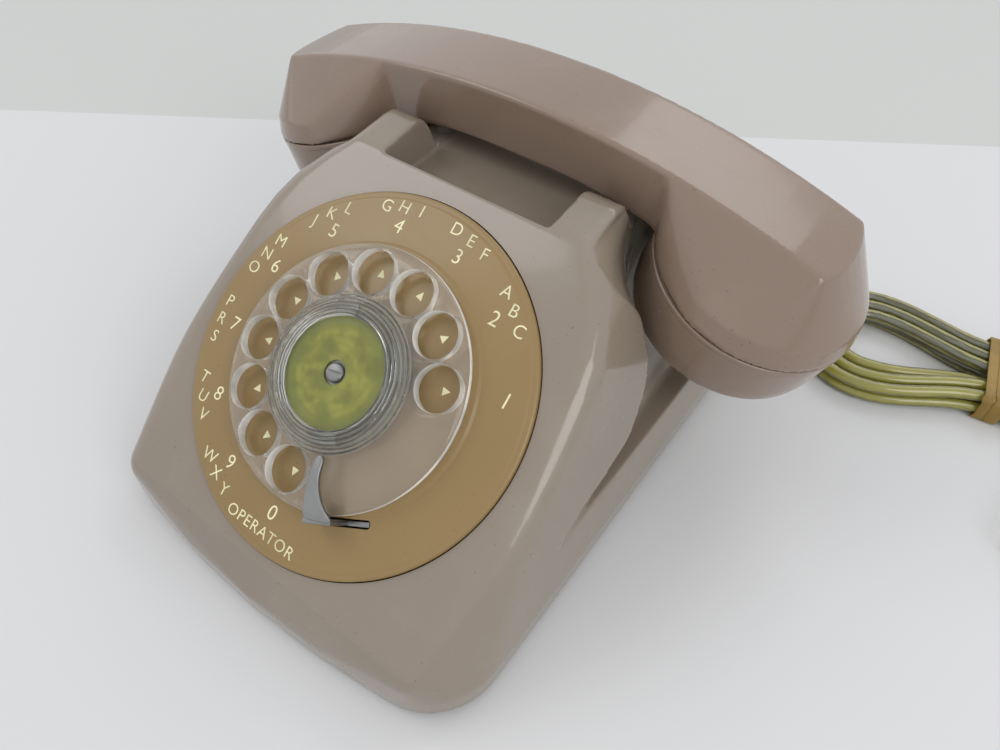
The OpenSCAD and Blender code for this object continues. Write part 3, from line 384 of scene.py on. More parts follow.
# Camera

cameraAt = {
    "place": (122.99, -133.25, 232.50), "azimuth": 37.27, "elevation": 49.96, "roll": -0.54,
    "focal": 0.7548, "sensor": 36,
}


def buildCamera():
    data = bpy.data.cameras.new("camera")
    data.sensor_width = cameraAt["sensor"]
    data.lens = cameraAt["sensor"] * cameraAt["focal"]
    data.clip_start, data.clip_end = 0.01, 50
    cam = placed("camera", data)
    a, e, turn = (radians(cameraAt[k]) for k in ("azimuth", "elevation", "roll"))
    back = Vector((sin(a) * cos(e), -cos(a) * cos(e), sin(e)))
    level = Vector((cos(a), sin(a), 0))
    upright = back.cross(level)
    right = cos(turn) * level + sin(turn) * upright
    up = cos(turn) * upright - sin(turn) * level
    grid = Matrix((right, up, back)).transposed().to_4x4()
    cam.matrix_world = Matrix.Translation(Vector(cameraAt["place"]) * mm) @ grid
    bpy.context.scene.camera = cam


buildCamera()
print("camera placed")


# Line cord: one cord from the grommet through the tied hank to its plug

cord = {
    "diameter": 4.6, "length": 1.93,
    "leadRoute": [(30, 117, 11), (30, 122, 11), (30.6, 129, 9.6), (33.5, 137, 6.6), (39, 143.5, 4.4),
                  (47, 147, 3), (57, 147.4, 2.4), (68, 145.6, 2.35), (79, 144.2, 2.35), (88, 145, 2.35),
                  (98, 146.6, 2.35)],
    "tailRoute": [(203, 106.2, 7.1), (197.5, 103.4, 6), (193.4, 99, 4.6), (191.4, 93, 3.7), (191, 87, 3.4),
                  (191, 82, 3.3)],
    "hankAt": (163, 129), "hankTurn": 10, "hankRun": 92, "hankOuter": 29.2, "hankStep": 5.6, "waist": 12.2,
    "layer": 5.1, "climbFrom": 0.2, "lift": 1.4, "turns": 5.5,
}


def hankPoint(turn):
    # one place on the hank: run, fold, run back, fold, drawn in at the waist and wound in two layers
    q = 4 * (turn - floor(turn))
    r = cord["hankOuter"] - cord["hankStep"] * min(turn, cord["turns"] - turn)
    half = cord["hankRun"] / 2
    s = half * (2 * min(q, 1) - 1 if q < 2 else 1 - 2 * min(q - 2, 1))
    pull = cos(pi / 2 * s / half) ** 2
    if q < 1:
        x, y, pinch = s, r - cord["waist"] * pull, pull
    elif q < 2:
        x, y, pinch = half + r * sin(pi * (q - 1)), r * cos(pi * (q - 1)), 0
    elif q < 3:
        x, y, pinch = s, -r + cord["waist"] * pull, pull
    else:
        x, y, pinch = -half - r * sin(pi * (q - 3)), -r * cos(pi * (q - 3)), 0
    climb = 4 * (turn - cord["turns"] / 2) + 1
    t = max(0, min(1, (climb - cord["climbFrom"]) / (1 - cord["climbFrom"])))
    z = cord["diameter"] / 2 + 0.05 + cord["layer"] * t * t * (3 - 2 * t) + cord["lift"] * pinch
    turned = Matrix.Rotation(radians(cord["hankTurn"]), 2) @ Vector((x, y))
    return Vector((cord["hankAt"][0] + turned.x, cord["hankAt"][1] + turned.y, z))


def cordPath():
    # lead and tail are smoothed through their points; the hank is followed closely
    along = Vector((cos(radians(cord["hankTurn"])), sin(radians(cord["hankTurn"])), 0))
    steps = int(cord["turns"] * 72)
    hank = [hankPoint(i * cord["turns"] / steps) for i in range(steps + 1)]
    start, end = hank[0] - along * cord["diameter"], hank[-1] - along * cord["diameter"]

    def smoothThrough(points, per):
        done = []
        for i in range(1, len(points) - 2):
            a, b, c, d = (Vector(p) for p in points[i - 1:i + 3])
            for k in range(per):
                t = k / per
                done.append(0.5 * (2 * b + (c - a) * t + (2 * a - 5 * b + 4 * c - d) * t ** 2
                                   + (3 * b - a - 3 * c + d) * t ** 3))
        return done

    lead = [Vector(p) for p in cord["leadRoute"]]
    tail = [Vector(p) for p in cord["tailRoute"]]
    before = smoothThrough([lead[0] * 2 - lead[1]] + lead + [start, hank[0]], 3)
    after = smoothThrough([hank[-1], end] + tail + [tail[-1] * 2 - tail[-2]], 3)
    return before + [start] + hank + after + [tail[-1]]


def cordFinish():
    # olive vinyl over two dark conductors: streaks run along the cord, and the skin is glossy
    f = Finish("cord_vinyl")
    flat = f.coords("UV")
    across = f.node("ShaderNodeSeparateXYZ", {}, {"Vector": flat}, out="Y")
    along = f.node("ShaderNodeSeparateXYZ", {}, {"Vector": flat}, out="X")
    drift = f.noise(3, 2, 0.5, at=flat, stretch=(90, 1.4, 1))
    wave = ((across * 2 + drift * 0.5) * (2 * pi)).calc("COSINE")
    core = f.ramp(wave, -0.35, 0.55)
    edge = f.ramp(wave, 0.62, 0.95)
    tones = f.mix(core, (0.27, 0.245, 0.050), (0.085, 0.082, 0.036))
    tones = f.mix(edge * 0.65, tones, (0.20, 0.21, 0.15))
    grime = f.ramp(f.noise(120, 4, 0.6), 0.5, 0.8)
    tones = f.mix(grime * 0.3, tones, (0.11, 0.085, 0.03))
    tint = f.ramp((along * 40).calc("SINE") + drift, 0.2, 1.6)
    f.set(Base_Color=f.mix(tint * 0.25, tones, (0.36, 0.33, 0.05)), Roughness=0.16 + grime * 0.12,
          Normal=f.bump(wave * 0.3 + f.noise(300, 2) * 0.4, 0.10, 0.0003),
          Coat_Weight=0.6, Coat_Roughness=0.05, IOR=1.5)
    return f.material


def buildCord():
    path = cordPath()
    curve = bpy.data.curves.new("cord_line", "CURVE")
    curve.dimensions = "3D"
    curve.bevel_depth = cord["diameter"] / 2 - 0.04
    curve.bevel_resolution = 5
    curve.use_fill_caps = True
    spline = curve.splines.new("POLY")
    spline.points.add(len(path) - 1)
    for point, place in zip(spline.points, path):
        point.co = (*place, 1)
    line = placed("cord_line", curve)
    tube = placed("line_cord", settled(line))
    bpy.data.objects.remove(line)
    bpy.data.curves.remove(curve)
    finishPiece(tube, "line_cord", cordFinish(), "base", "cord_olive",
                "line_cord_lead", "line_cord_hank", "line_cord_tail", sharp=50)
    return tube, path


lineCord, cordRoute = buildCord()

tie = {"thick": 1.0, "wide": 9.0, "gap": 0.6, "corner": 3.0}


def buildTie():
    # a wide rubber band stretched round the waist, with a second narrow turn over it
    right = cord["hankOuter"] - cord["hankStep"] * 0.625 - cord["waist"] + cord["diameter"] / 2 + tie["gap"]
    left = cord["hankOuter"] - cord["hankStep"] * 0.125 - cord["waist"] + cord["diameter"] / 2 + tie["gap"]
    high = cord["layer"] + cord["diameter"] + cord["lift"] + tie["gap"] + 0.05
    bm = bmesh.new()
    turns = ((-tie["wide"] / 2, tie["wide"] * 0.62, 0.0), (-tie["wide"] * 0.05, tie["wide"] * 0.5, 0.35))
    for start, wide, out in turns:
        inner = rounded([(-right, 0.1), (left, 0.1), (left, high), (-right, high)], tie["corner"], 8)
        grown = tie["thick"] * 0.62
        outer = [p + Vector((out if p.x > 0 else -out, out if p.y > high / 2 else 0)) for p in inner]
        middle = sum(outer, Vector((0, 0))) / len(outer)
        count = len(outer)
        rings = []
        for i in range(count):
            p = outer[i]
            run = (outer[(i + 1) % count] - outer[i - 1]).normalized()
            away = Vector((run.y, -run.x))
            if away.dot(p - middle) < 0:
                away = -away
            wave = 0.35 * sin(i * 0.9 + start)
            near, far = start + wave, start + wide
            band = [(near, 0.15), (near + 0.3, 0), (far - 0.3, 0), (far, 0.15),
                    (far, grown - 0.15), (far - 0.3, grown), (near + 0.3, grown), (near, grown - 0.15)]
            rings.append([(x, p.x + away.x * d, max(p.y + away.y * d, 0.02)) for x, d in band])
        merged(bm, lofted(rings, endless=True))
    place = Matrix.Translation((*cord["hankAt"], 0)) @ Matrix.Rotation(radians(cord["hankTurn"]), 4, "Z")
    return finishPiece(bm, "cord_tie_band", "tie", "base", "tie_ochre", "cord_tie", place=place, sharp=60)


cordBand = buildTie()

plug = {"high": 6.6, "halfWide": 5.85, "noseHalf": 5.3, "long": 22, "blades": 4, "bladeStep": 1.27}


def buildPlug():
    # clear modular plug: stepped body, latch on top, four gold blades at the front
    end, high, wide, nose = cord["tailRoute"][-1], plug["high"], plug["halfWide"], plug["noseHalf"]
    outline = [(-wide, -plug["long"]), (wide, -plug["long"]), (wide, -8), (nose, -6), (nose, 0),
               (-nose, 0), (-nose, -6), (-wide, -8)]
    moulding = softened(slab(rounded(outline, 0.5, 2), 0.05, high), 0.35, 40, 2)
    latchOutline = [(-3, -19.5), (3, -19.5), (3, -4), (1.6, -1), (-1.6, -1), (-3, -4)]
    latch = softened(slab(latchOutline, high - 0.3, high + 0.8), 0.25, 40, 2)
    place = Matrix.Translation((end[0], end[1], 0))
    clearBody = finishPiece(merged(moulding, latch), "line_plug_body", "lens", "base", "clear_plastic",
                            "line_plug", place=place)
    blades = bmesh.new()
    for i in range(plug["blades"]):
        spot = Matrix.Translation((-1.9 + plug["bladeStep"] * i, -19.6, 1.9))
        bmesh.ops.create_cube(blades, size=1, matrix=spot @ Matrix.Diagonal((0.42, 4.4, 3.2, 1)))
    softened(blades, 0.08, 40, 1)
    gold = finishPiece(blades, "line_plug_blades", "brass", "base", "brass", place=place)
    return clearBody, gold


plugPieces = buildPlug()
tuple(c * mm for c in cordRoute[0])
[tuple(p * mm) for p in cordRoute]
print("line cord laid:", round(sum((b - a).length for a, b in zip(cordRoute, cordRoute[1:])) * mm, 3), "m")

grommet = {"at": (30, 103, 11), "long": 14, "ribs": 5, "ribFrom": 2.4, "ribStep": 2.2, "taper": 0.26}


def buildGrommet():
    # tapered strain relief with ribs
    r = cord["diameter"] / 2
    outline = [(0, -4.8), (r + 2.6, -4.8), (r + 2.6, -3.1), (r + 1.25, -3.1), (r + 1.25, 0.2), (r + 2.6, 0.2),
               (r + 2.5, 1.8)]
    for i in range(grommet["ribs"]):
        low, fall = grommet["ribFrom"] + i * grommet["ribStep"], grommet["taper"] * i
        outline += [(r + 1.3 - fall, low), (r + 1.3 - fall, low + 0.5), (r + 2.0 - fall, low + 0.8),
                    (r + 1.95 - fall, low + 1.9)]
    outline += [(r + 0.55, grommet["long"] - 0.3), (r + 0.3, grommet["long"]), (0, grommet["long"])]
    bm = spun(rounded(outline, 0.25, 2, closed=False), 48)
    place = Matrix.Translation(grommet["at"]) @ Matrix.Rotation(-pi / 2, 4, "X")
    finishPiece(bm, "line_strain_relief", "rubber", "base", "cord_olive", "line_grommet", place=place)


buildGrommet()


# Floor and light

stage = {
    "floor": (0.690, 0.692, 0.695), "wall": (0.600, 0.608, 0.590), "size": 8,
    "wallLine": ((-103, 165), (0.8437, 0.5368)),  # a point in millimetres and a direction
}


def buildStage():
    bm = bmesh.new()
    bmesh.ops.create_grid(bm, x_segments=1, y_segments=1, size=stage["size"])
    ground = asObject(bm, "floor")
    f = Finish("floor_paper")
    at = f.coords()
    (px, py), (dx, dy) = stage["wallLine"]
    beyond = f.vectorMath("DOT_PRODUCT", at, (-dy, dx, 0))
    line = (-dy * px + dx * py) * mm
    step = f.ramp(beyond, line - 0.0006, line + 0.0006)
    f.set(Base_Color=f.mix(step, stage["floor"], stage["wall"]), Roughness=0.7, Specular_IOR_Level=0.2)
    ground.data.materials.append(f.material)


lamps = {
    "key": {"at": (-0.70, -0.25, 0.95), "to": (0, 0, 0.04), "size": (0.6, 0.5), "power": 2.2},
    "back": {"at": (0.05, 0.80, 0.85), "to": (0, 0, 0.04), "size": (0.6, 0.4), "power": 1.3},
    "side": {"at": (0.85, -0.25, 0.62), "to": (0, 0, 0.04), "size": (0.5, 0.6), "power": 2.8},
}
sky = {"tone": (0.95, 0.96, 0.98), "light": 0.78, "seen": 0.98}


def buildLamps():
    for name, lamp in lamps.items():
        data = bpy.data.lights.new(name, "AREA")
        data.shape = "RECTANGLE"
        data.size, data.size_y = lamp["size"]
        data.energy = lamp["power"]
        obj = placed(name, data)
        obj.location = lamp["at"]
        obj.rotation_mode = "QUATERNION"
        obj.rotation_quaternion = (Vector(lamp["at"]) - Vector(lamp["to"])).to_track_quat("Z", "Y")
    world = bpy.data.worlds.new("room")
    bpy.context.scene.world = world
    room = Nodes(world)
    seen = [room.node("ShaderNodeLightPath", {}, {}, out=f"Is {kind} Ray")
            for kind in ("Camera", "Glossy", "Transmission")]
    background = world.node_tree.nodes["Background"]
    room.feed(background.inputs["Color"], sky["tone"])
    direct = (seen[0] + seen[1]).calc("ADD", seen[2], clamp=True)
    room.feed(background.inputs["Strength"], direct * (sky["seen"] - sky["light"]) + sky["light"])


buildStage()
buildLamps()
bpy.context.scene.view_settings.view_transform = "Standard"
print("stage and lamps set")


# Frames that the pieces sit in: the dial on its sloping face, a cap under each end of the handset

body = {
    "halfWide": 76, "front": -103, "skirtTop": 12, "footHigh": 2.5, "lip": 18.4, "tilt": 34.5, "wall": 2.8,
    # x, y and radius of the upright corners
    "corners": [(52, -75, 24), (26.6, -77.92, 24), (0, -79, 24), (58, 85, 18)],
    # balls that touch the sloping face from below: y, x, radius. Balls of the prongs: x, y, z, radius.
    "faceBalls": [(-89, 57, 9), (-52, 62.3, 9), (-16, 59.3, 8), (-2, 54.3, 8), (12, 42, 6)], "ballSteps": 14,
    "prongs": [(42, 26, 91.773, 6), (40, 83.5, 90.473, 6)], "prongTop": 97.773,
    "recess": 31.6, "pocket": 27, "saddle": 83.573, "saddleReach": 17.9, "middle": 51.5, "rear": 123,
    "dialUp": 71.1, "dialHole": 59.4, "voxel": 0.75, "softPasses": 3, "triangles": 170000,
    # height, half width
    "side": [(12, 76), (49.77, 70.2), (56.77, 68.5), (81.77, 59.6), (87.47, 55.6), (94.47, 46)],
    # height as a share of the way from the skirt to the saddle, reach inwards, rear reach, front reach
    "skirt": 28,
    "scoop": [(0, 16.7, 2, 60), (0.09, 10.7, -0.4, 43.3), (0.13, 8.8, -1.2, 30), (0.18, 6.7, -2, 18.4),
              (0.29, 2.5, -2.7, 11.8), (0.41, -1.3, -2.8, 6.6), (0.525, -3.8, -2, 4), (0.65, -6.2, 0, 2.2),
              (0.8, -6.9, 1.8, 2.2), (0.965, -6.7, 4.5, 6.1), (1.07, -6.1, 6.8, 9), (1.15, -5.4, 8.2, 8.4),
              (1.5, -3.3, 11.5, 8)],
}
cap = {"radius": 34.5, "out": 82.2, "seam": 74.873, "lean": 17.5, "deep": 24}
slope = tan(radians(body["tilt"]))


def faceHeight(y):
    return body["lip"] + (y - body["front"]) * slope


dialUp = body["dialUp"]
dialPlace = (Matrix.Translation((0, body["front"] + dialUp * cos(radians(body["tilt"])),
                                 body["lip"] + dialUp * sin(radians(body["tilt"]))))
             @ Matrix.Rotation(radians(body["tilt"]), 4, "X"))


def capPlace(side):
    return (Matrix.Translation((side * cap["out"], body["middle"], cap["seam"]))
            @ Matrix.Rotation(radians(side * cap["lean"]), 4, "Y"))


# An outline in (y, z) that runs across the body along x
acrossBody = Matrix(((0, 0, 1, 0), (1, 0, 0, 0), (0, 1, 0, 0), (0, 0, 0, 1)))


# Housing

def between(rows, at):
    # a smooth line through the rows that never overshoots them
    k = max([i for i in range(len(rows) - 1) if rows[i][0] <= at] or [0])
    done = []
    for c in range(1, len(rows[0])):
        slopes = [(b[c] - a[c]) / (b[0] - a[0]) for a, b in zip(rows, rows[1:])]

        def tangent(i):
            if i in (0, len(rows) - 1):
                return slopes[min(i, len(slopes) - 1)]
            a, b = slopes[i - 1], slopes[i]
            return 0 if a * b <= 0 else 2 * a * b / (a + b)

        span = rows[k + 1][0] - rows[k][0]
        t = (at - rows[k][0]) / span
        done.append(rows[k][c] * (2 * t ** 3 - 3 * t ** 2 + 1) + tangent(k) * span * (t ** 3 - 2 * t ** 2 + t)
                    + rows[k + 1][c] * (3 * t ** 2 - 2 * t ** 3) + tangent(k + 1) * span * (t ** 3 - t ** 2))
    return done


def shellForm(inset, low, segments=48):
    bm = bmesh.new()
    top = body["skirtTop"] - inset * 0.3
    for x, y, radius in body["corners"]:
        r = radius - inset
        for at in ((-x, y), (x, y)):
            addRod(bm, at, low, top - 1.6, r, segments=segments)
            addRod(bm, at, top - 1.6, top, r, r - 0.25, segments=segments)
    rows, steps = body["faceBalls"], body["ballSteps"]
    spots = [rows[0][0] + (rows[-1][0] - rows[0][0]) * i / steps for i in range(steps + 1)]
    touching = []
    for y in spots:
        x, radius = between(rows, y)
        touching.append((x, y, faceHeight(y) - radius / cos(radians(body["tilt"])), radius))
    for x, y, z, radius in touching + body["prongs"]:
        for side in (-1, 1):
            addBall(bm, (side * x, y, z), radius - inset, segments)
    return hulled(bm)


def recessCutter(grow):
    # a flat recess under the handle, and a deeper pocket for the fingers behind it
    z, rim, edge, rear = body["saddle"], body["middle"] - 41.2, body["middle"] - 1.5, body["rear"]
    wide, pocket, above = body["recess"] + grow, body["pocket"] + grow, 132
    upper = slab([(rim - grow, above), (rim - grow, faceHeight(rim) - 2), (rim + 3 - grow, z - 0.4 - grow),
                  (rear, z - 0.4 - grow), (rear, above)], -wide, wide)
    lower = slab([(edge - grow, z + 5), (edge - grow, z - grow), (edge + 10 - grow, z - 20 - grow),
                  (rear, z - 22 - grow), (rear, z + 5)], -pocket, pocket)
    return moved(upper, acrossBody), moved(lower, acrossBody)


def saddleCutter(grow):
    y, z, r, high = body["middle"], body["saddle"], body["saddleReach"], body["prongTop"]
    half = [(r + 6.5 + grow, high + 30), (r + 6.5 + grow, high), (r + 3 + grow, high - 1.2),
            (r + 1.2 + grow, high - 4), (r - 2 + grow, z + 2 - grow), (r - 4, z - grow)]
    outline = [(y - d, h) for d, h in half] + [(y + d, h) for d, h in reversed(half)]
    return moved(slab(rounded(outline, 2.5, 6), -76, 76), acrossBody)


def scoopCutter(side, grow):
    # an arc at each height, deep beside the cap, and open towards the side
    rings, arc, levels = [], 40, 60
    capNear = cap["out"] - cap["radius"] * cos(radians(cap["lean"]))
    y, far = body["middle"], body["halfWide"] + 40
    for i in range(levels + 1):
        share = 1.499 * (i / levels) ** 1.6
        z = body["skirt"] + share * (body["saddle"] - body["skirt"]) - (grow if i == 0 else 0)
        sideX = between(body["side"], min(z, body["side"][-1][0]))[0]
        inward, rearward, forward = between(body["scoop"], share)
        near = capNear + inward - grow
        deep = max(sideX - near, 1.5)
        rear, front = cap["radius"] + rearward + grow, cap["radius"] + forward + grow
        r = (deep * deep + rear * rear) / (2 * deep)
        spread = asin(min(rear / r, 1))
        ring = []
        for k in range(arc + 1):
            a = -spread + 2 * spread * k / arc
            ring.append((side * (near + r - r * cos(a)), y + r * sin(a) * (front / rear if a < 0 else 1), z))
        rings.append(ring + [(side * far, y + rear, z), (side * far, y - front, z)])
    return lofted(rings)


screw = {"spots": [(62.5, -87.5), (46, 94.5)]}
plunger = {"spots": [(36.5, 46)], "radius": 3.2}
cordHoles = {"high": 11, "line": (30, 3.7), "handset": (-30, 4.0)}  # place across the back, radius


def pairedRods(piece, low, high, radius, segments):
    # upright rods on the piece's spots, on both sides
    bm = bmesh.new()
    for side in (-1, 1):
        for x, y in piece["spots"]:
            addRod(bm, (side * x, y), low, high, radius, segments=segments)
    return bm


def hollowed(obj, grow):
    # the recess, the saddle and both hollows, cut in turn
    for tool in (*recessCutter(grow), saddleCutter(grow), scoopCutter(1, grow), scoopCutter(-1, grow)):
        carved(obj, tool)
    return obj


def buildHousing():
    shell = hollowed(asObject(shellForm(0, body["footHigh"])), 0)
    modified(shell, "REMESH", mode="VOXEL", voxel_size=body["voxel"])
    modified(shell, "SMOOTH", factor=0.5, iterations=body["softPasses"])
    modified(shell, "DECIMATE", ratio=min(1, body["triangles"] / (2 * len(shell.data.polygons))))
    print("housing skin:", len(shell.data.polygons), "faces")
    cavity = hollowed(asObject(shellForm(body["wall"], body["footHigh"] - 2, 40)), body["wall"])
    guides = pairedRods(plunger, body["saddle"] - 11, 90, 4.86, 32)
    carved(cavity, merged(pairedRods(screw, 4.4, 25.4, 4.6, 32), guides))
    carved(shell, cavity)
    opening = bmesh.new()
    addRod(opening, (0, 0), -30, 30, body["dialHole"], segments=192, place=dialPlace)
    carved(shell, opening)
    guides = pairedRods(plunger, 62, 105, plunger["radius"] + 0.06, 48)
    holes = merged(pairedRods(screw, 0, 18, 1.95, 24), guides)
    backwards = Matrix.Translation((0, 83, cordHoles["high"])) @ Matrix.Rotation(-pi / 2, 4, "X")
    for x, radius in (cordHoles["line"], cordHoles["handset"]):
        addRod(holes, (x, 0), 0, 40, radius, segments=48, place=backwards)
    carved(shell, holes)
    finishPiece(shell, "housing_shell", "housing", "base", "beige_shell", "housing", sharp=48)


buildHousing()
print("housing built")


# Handset: an arched handle with a flat top, and a cup at each end that turns round towards its seam

handset = {
    "wide": 31.4, "thick": 21.5, "curve": 301, "top": 112.786, "drop": 3.7, "dropAt": 43, "half": 64,
    "edge": 1.1, "lowEdge": 3.0, "taper": 1.4,
    # each cup: low, high and both radii of its barrel, then the balls along its top
    "barrel": [(0, 1.5, 34.5, 34.4), (1.5, 7, 34.4, 32.6)], "ball": 1.2,
    "facetEnd": 101.4, "bow": 3.0, "alongTop": (54, 63, 72, 82, 92), "acrossEnd": (0.3, 0.6, 0.8, 0.93),
    "voxel": 0.68, "softPasses": 3, "neck": (40, 74), "neckPasses": 60, "triangles": 130000,
}


def handleTop(x):
    return handset["top"] - handset["curve"] + sqrt(handset["curve"] ** 2 - x * x)


def handleForm(inset, half, steps):
    rings = []
    for i in range(steps + 1):
        x = -half + 2 * half * i / steps
        top = handleTop(x) - inset
        low = handset["top"] - handset["thick"] - handset["drop"] * abs(x / handset["dropAt"]) ** 3 + inset
        wide, y = handset["wide"] / 2 - inset, body["middle"]
        under = wide - handset["taper"]
        ring = []
        for side in (1, -1):
            edge = [(wide - handset["edge"] * (1 - sin(a)), top - handset["edge"] * (1 - cos(a)))
                    for a in (radians(15 * k) for k in range(7))]
            lower = [(under - handset["lowEdge"] * (1 - sin(a)), low + handset["lowEdge"] * (1 + cos(a)))
                     for a in (radians(90 + 15 * k) for k in range(7))]
            line = [(x, y + side * d, z) for d, z in edge + lower]
            ring += line if side == 1 else line[::-1]
        rings.append(ring)
    return lofted(rings)


def cupForm(side):
    bm = bmesh.new()
    for low, high, r1, r2 in handset["barrel"]:
        addRod(bm, (0, 0), low, high, r1, r2, 128, capPlace(side))
    end, ball = handset["facetEnd"], handset["ball"]
    half = handset["wide"] / 2 - ball
    spots = [(x, 1) for x in (*handset["alongTop"], end)]
    spots += [(end + handset["bow"] * (1 - t ** 2.4), t) for t in (0, *handset["acrossEnd"])]
    for x, t in spots:
        for across in sorted({-half * t, half * t}):
            addBall(bm, (side * x, body["middle"] + across, handleTop(x) - ball), ball, 20)
    return hulled(bm)


def blendNecks(grip):
    # the necks, where the handle turns into the cups, are smoothed much more than the edges
    neck = grip.vertex_groups.new(name="neck")
    low, high = handset["neck"]
    for v in grip.data.vertices:
        x = abs(v.co.x)
        along = max(0, 1 - abs(x - (low + high) / 2) / ((high - low) / 2))
        below = max(0, min(1, (handleTop(x) - v.co.z - 1.5) / 4))
        if along * below > 0:
            neck.add([v.index], min(1, 2 * along) * below, "REPLACE")
    modified(grip, "SMOOTH", factor=0.5, iterations=handset["neckPasses"], vertex_group="neck")


def buildHandset():
    grip = asObject(handleForm(0, handset["half"], 64))
    for side in (-1, 1):
        carved(grip, cupForm(side), "UNION")
    modified(grip, "REMESH", mode="VOXEL", voxel_size=handset["voxel"])
    modified(grip, "SMOOTH", factor=0.5, iterations=handset["softPasses"])
    blendNecks(grip)
    modified(grip, "DECIMATE", ratio=min(1, handset["triangles"] / (2 * len(grip.data.polygons))))
    print("handset skin:", len(grip.data.polygons), "faces")
    carved(grip, handleForm(3, handset["half"] + 6, 24))
    for side in (-1, 1):
        below = bmesh.new()
        addRod(below, (0, 0), -9, 0, 40, segments=64, place=capPlace(side))
        carved(grip, below)
        hollow = spun([(0, -9), (29.2, -9), (29.2, 1), (28.2, 1.5), (15, 15.5), (0, 15.5)], 96)
        carved(grip, moved(hollow, capPlace(side)))
        collar = spun([(29.2, -8), (31.6, -8), (31.6, 1), (29.2, 1)], 96)
        carved(grip, moved(collar, capPlace(side)), "UNION")
    inlet = bmesh.new()
    turn = Matrix.Rotation(radians(-30), 4, "Z") @ Matrix.Rotation(-pi / 2, 4, "Y")
    addRod(inlet, (0, 0), -15, 15, 3.0, segments=32,
           place=Matrix.Translation((-cap["out"] - 24, body["middle"] + 12, cap["seam"] + 2)) @ turn)
    carved(grip, inlet)
    finishPiece(grip, "handset_shell", "handset", "handset", "beige_shell", "handset_body", sharp=48)


def buildCap(side, name, rings):
    # screw-on cap with a bead round its top edge
    deep = cap["deep"]
    outline = rounded([(26.8, -deep), (30.7, 1.1 - deep), (33.1, 4.2 - deep), (33.9, 9 - deep), (34.25, -3.0),
                       (34.12, -2.3), (34.5, -1.9), (34.5, -0.6), (34.15, -0.3), (31.9, -0.3),
                       (31.4, 8 - deep), (28.4, 3.4 - deep)], 1.6, 6, closed=False)
    lid = asObject(spun([(0, 0.3 - deep), (20, 0.15 - deep), *outline, (0, 3.4 - deep)], 160))
    for low, high, r1, r2 in ((-1.5, 5.5, 1.3, 1.3), (-0.25, 0.6, 2.1, 1.25)):
        holes = bmesh.new()
        for ringRadius, count in rings:
            for i in range(count):
                at = around(ringRadius, 360 / count * i)
                addRod(holes, (0, 0), low - deep, high - deep, r1, r2, 16, at)
        carved(lid, holes)
    place = capPlace(side)
    finishPiece(lid, name + "_shell", "handset", "handset", "beige_shell", name, place=place, sharp=40)


buildHandset()
soundHoles = {"receiver": [(0, 1), (6, 6)], "transmitter": [(0, 1), (5, 6), (10, 12), (15, 18)]}
buildCap(1, "receiver_cap", soundHoles["receiver"])
buildCap(-1, "transmitter_cap", soundHoles["transmitter"])
print("handset built")


# Dial: everything here is shaped round the dial's own axis and then set on the sloping face

dial = {
    "wheel": 40.65, "finger": 6.9, "fingerCircle": 31.8, "holes": 10, "holeStep": 360 / 13, "firstHole": 20.2,
    "plate": 59.05, "plateTop": 1.9, "innerTop": 2.7, "wheelLow": 3.6, "wheelTop": 8.6,
    "ring": 24, "ringSteps": 8, "groove": 1.15, "card": 16.8, "cardLow": 9.1, "cardThick": 0.8,
    "stopTop": 11.2, "stopFrom": 290.52, "stopTo": 312.04,
}
holeAngles = [dial["firstHole"] + dial["holeStep"] * i for i in range(dial["holes"])]


def dialPiece(source, name, finish, slotName, *nodes, body="dial", sharp=35):
    return finishPiece(source, name, finish, body, slotName, *nodes, place=dialPlace, sharp=sharp)


def stopFrame():
    # the finger stop's strip runs along a chord just outside the wheel
    start = around(dial["wheel"] + 1.85, dial["stopFrom"]).translation
    run = (around(dial["wheel"] + 3.25, dial["stopTo"]).translation - start).to_2d()
    turn = Matrix.Rotation(run.angle_signed(Vector((1, 0))), 4, "Z")
    return Matrix.Translation(start) @ turn, run.length


def buildPlate():
    edge, top, inner = dial["plate"], dial["plateTop"], dial["innerTop"]
    bead = rounded([(42.6, top), (55.9, top), (56.6, 1.82), (57.1, 1.55), (57.6, 1.5), (58.1, 1.55),
                    (58.7, 1.3), (edge, 0.8), (edge, 0)], 0.35, 3, closed=False)
    outline = [(7, inner), (41.5, inner), (41.75, 2.62), (42.35, 1.98), *bead, (edge, -2.8), (55.6, -2.8),
               (55.6, 0.3), (42.05, 0.3), (40.65, 1.1), (7, 1.1)]
    plate = asObject(spun(outline, 192))
    place, run = stopFrame()
    slot = slab(rounded([(-0.5, -1.3), (run + 0.5, -1.3), (run + 0.5, 1.3), (-0.5, 1.3)], 1.2, 5), -10, 10)
    carved(plate, moved(slot, place))
    dialPiece(plate, "number_plate_disc", "plate", "dial_amber", "number_plate", body="base", sharp=30)


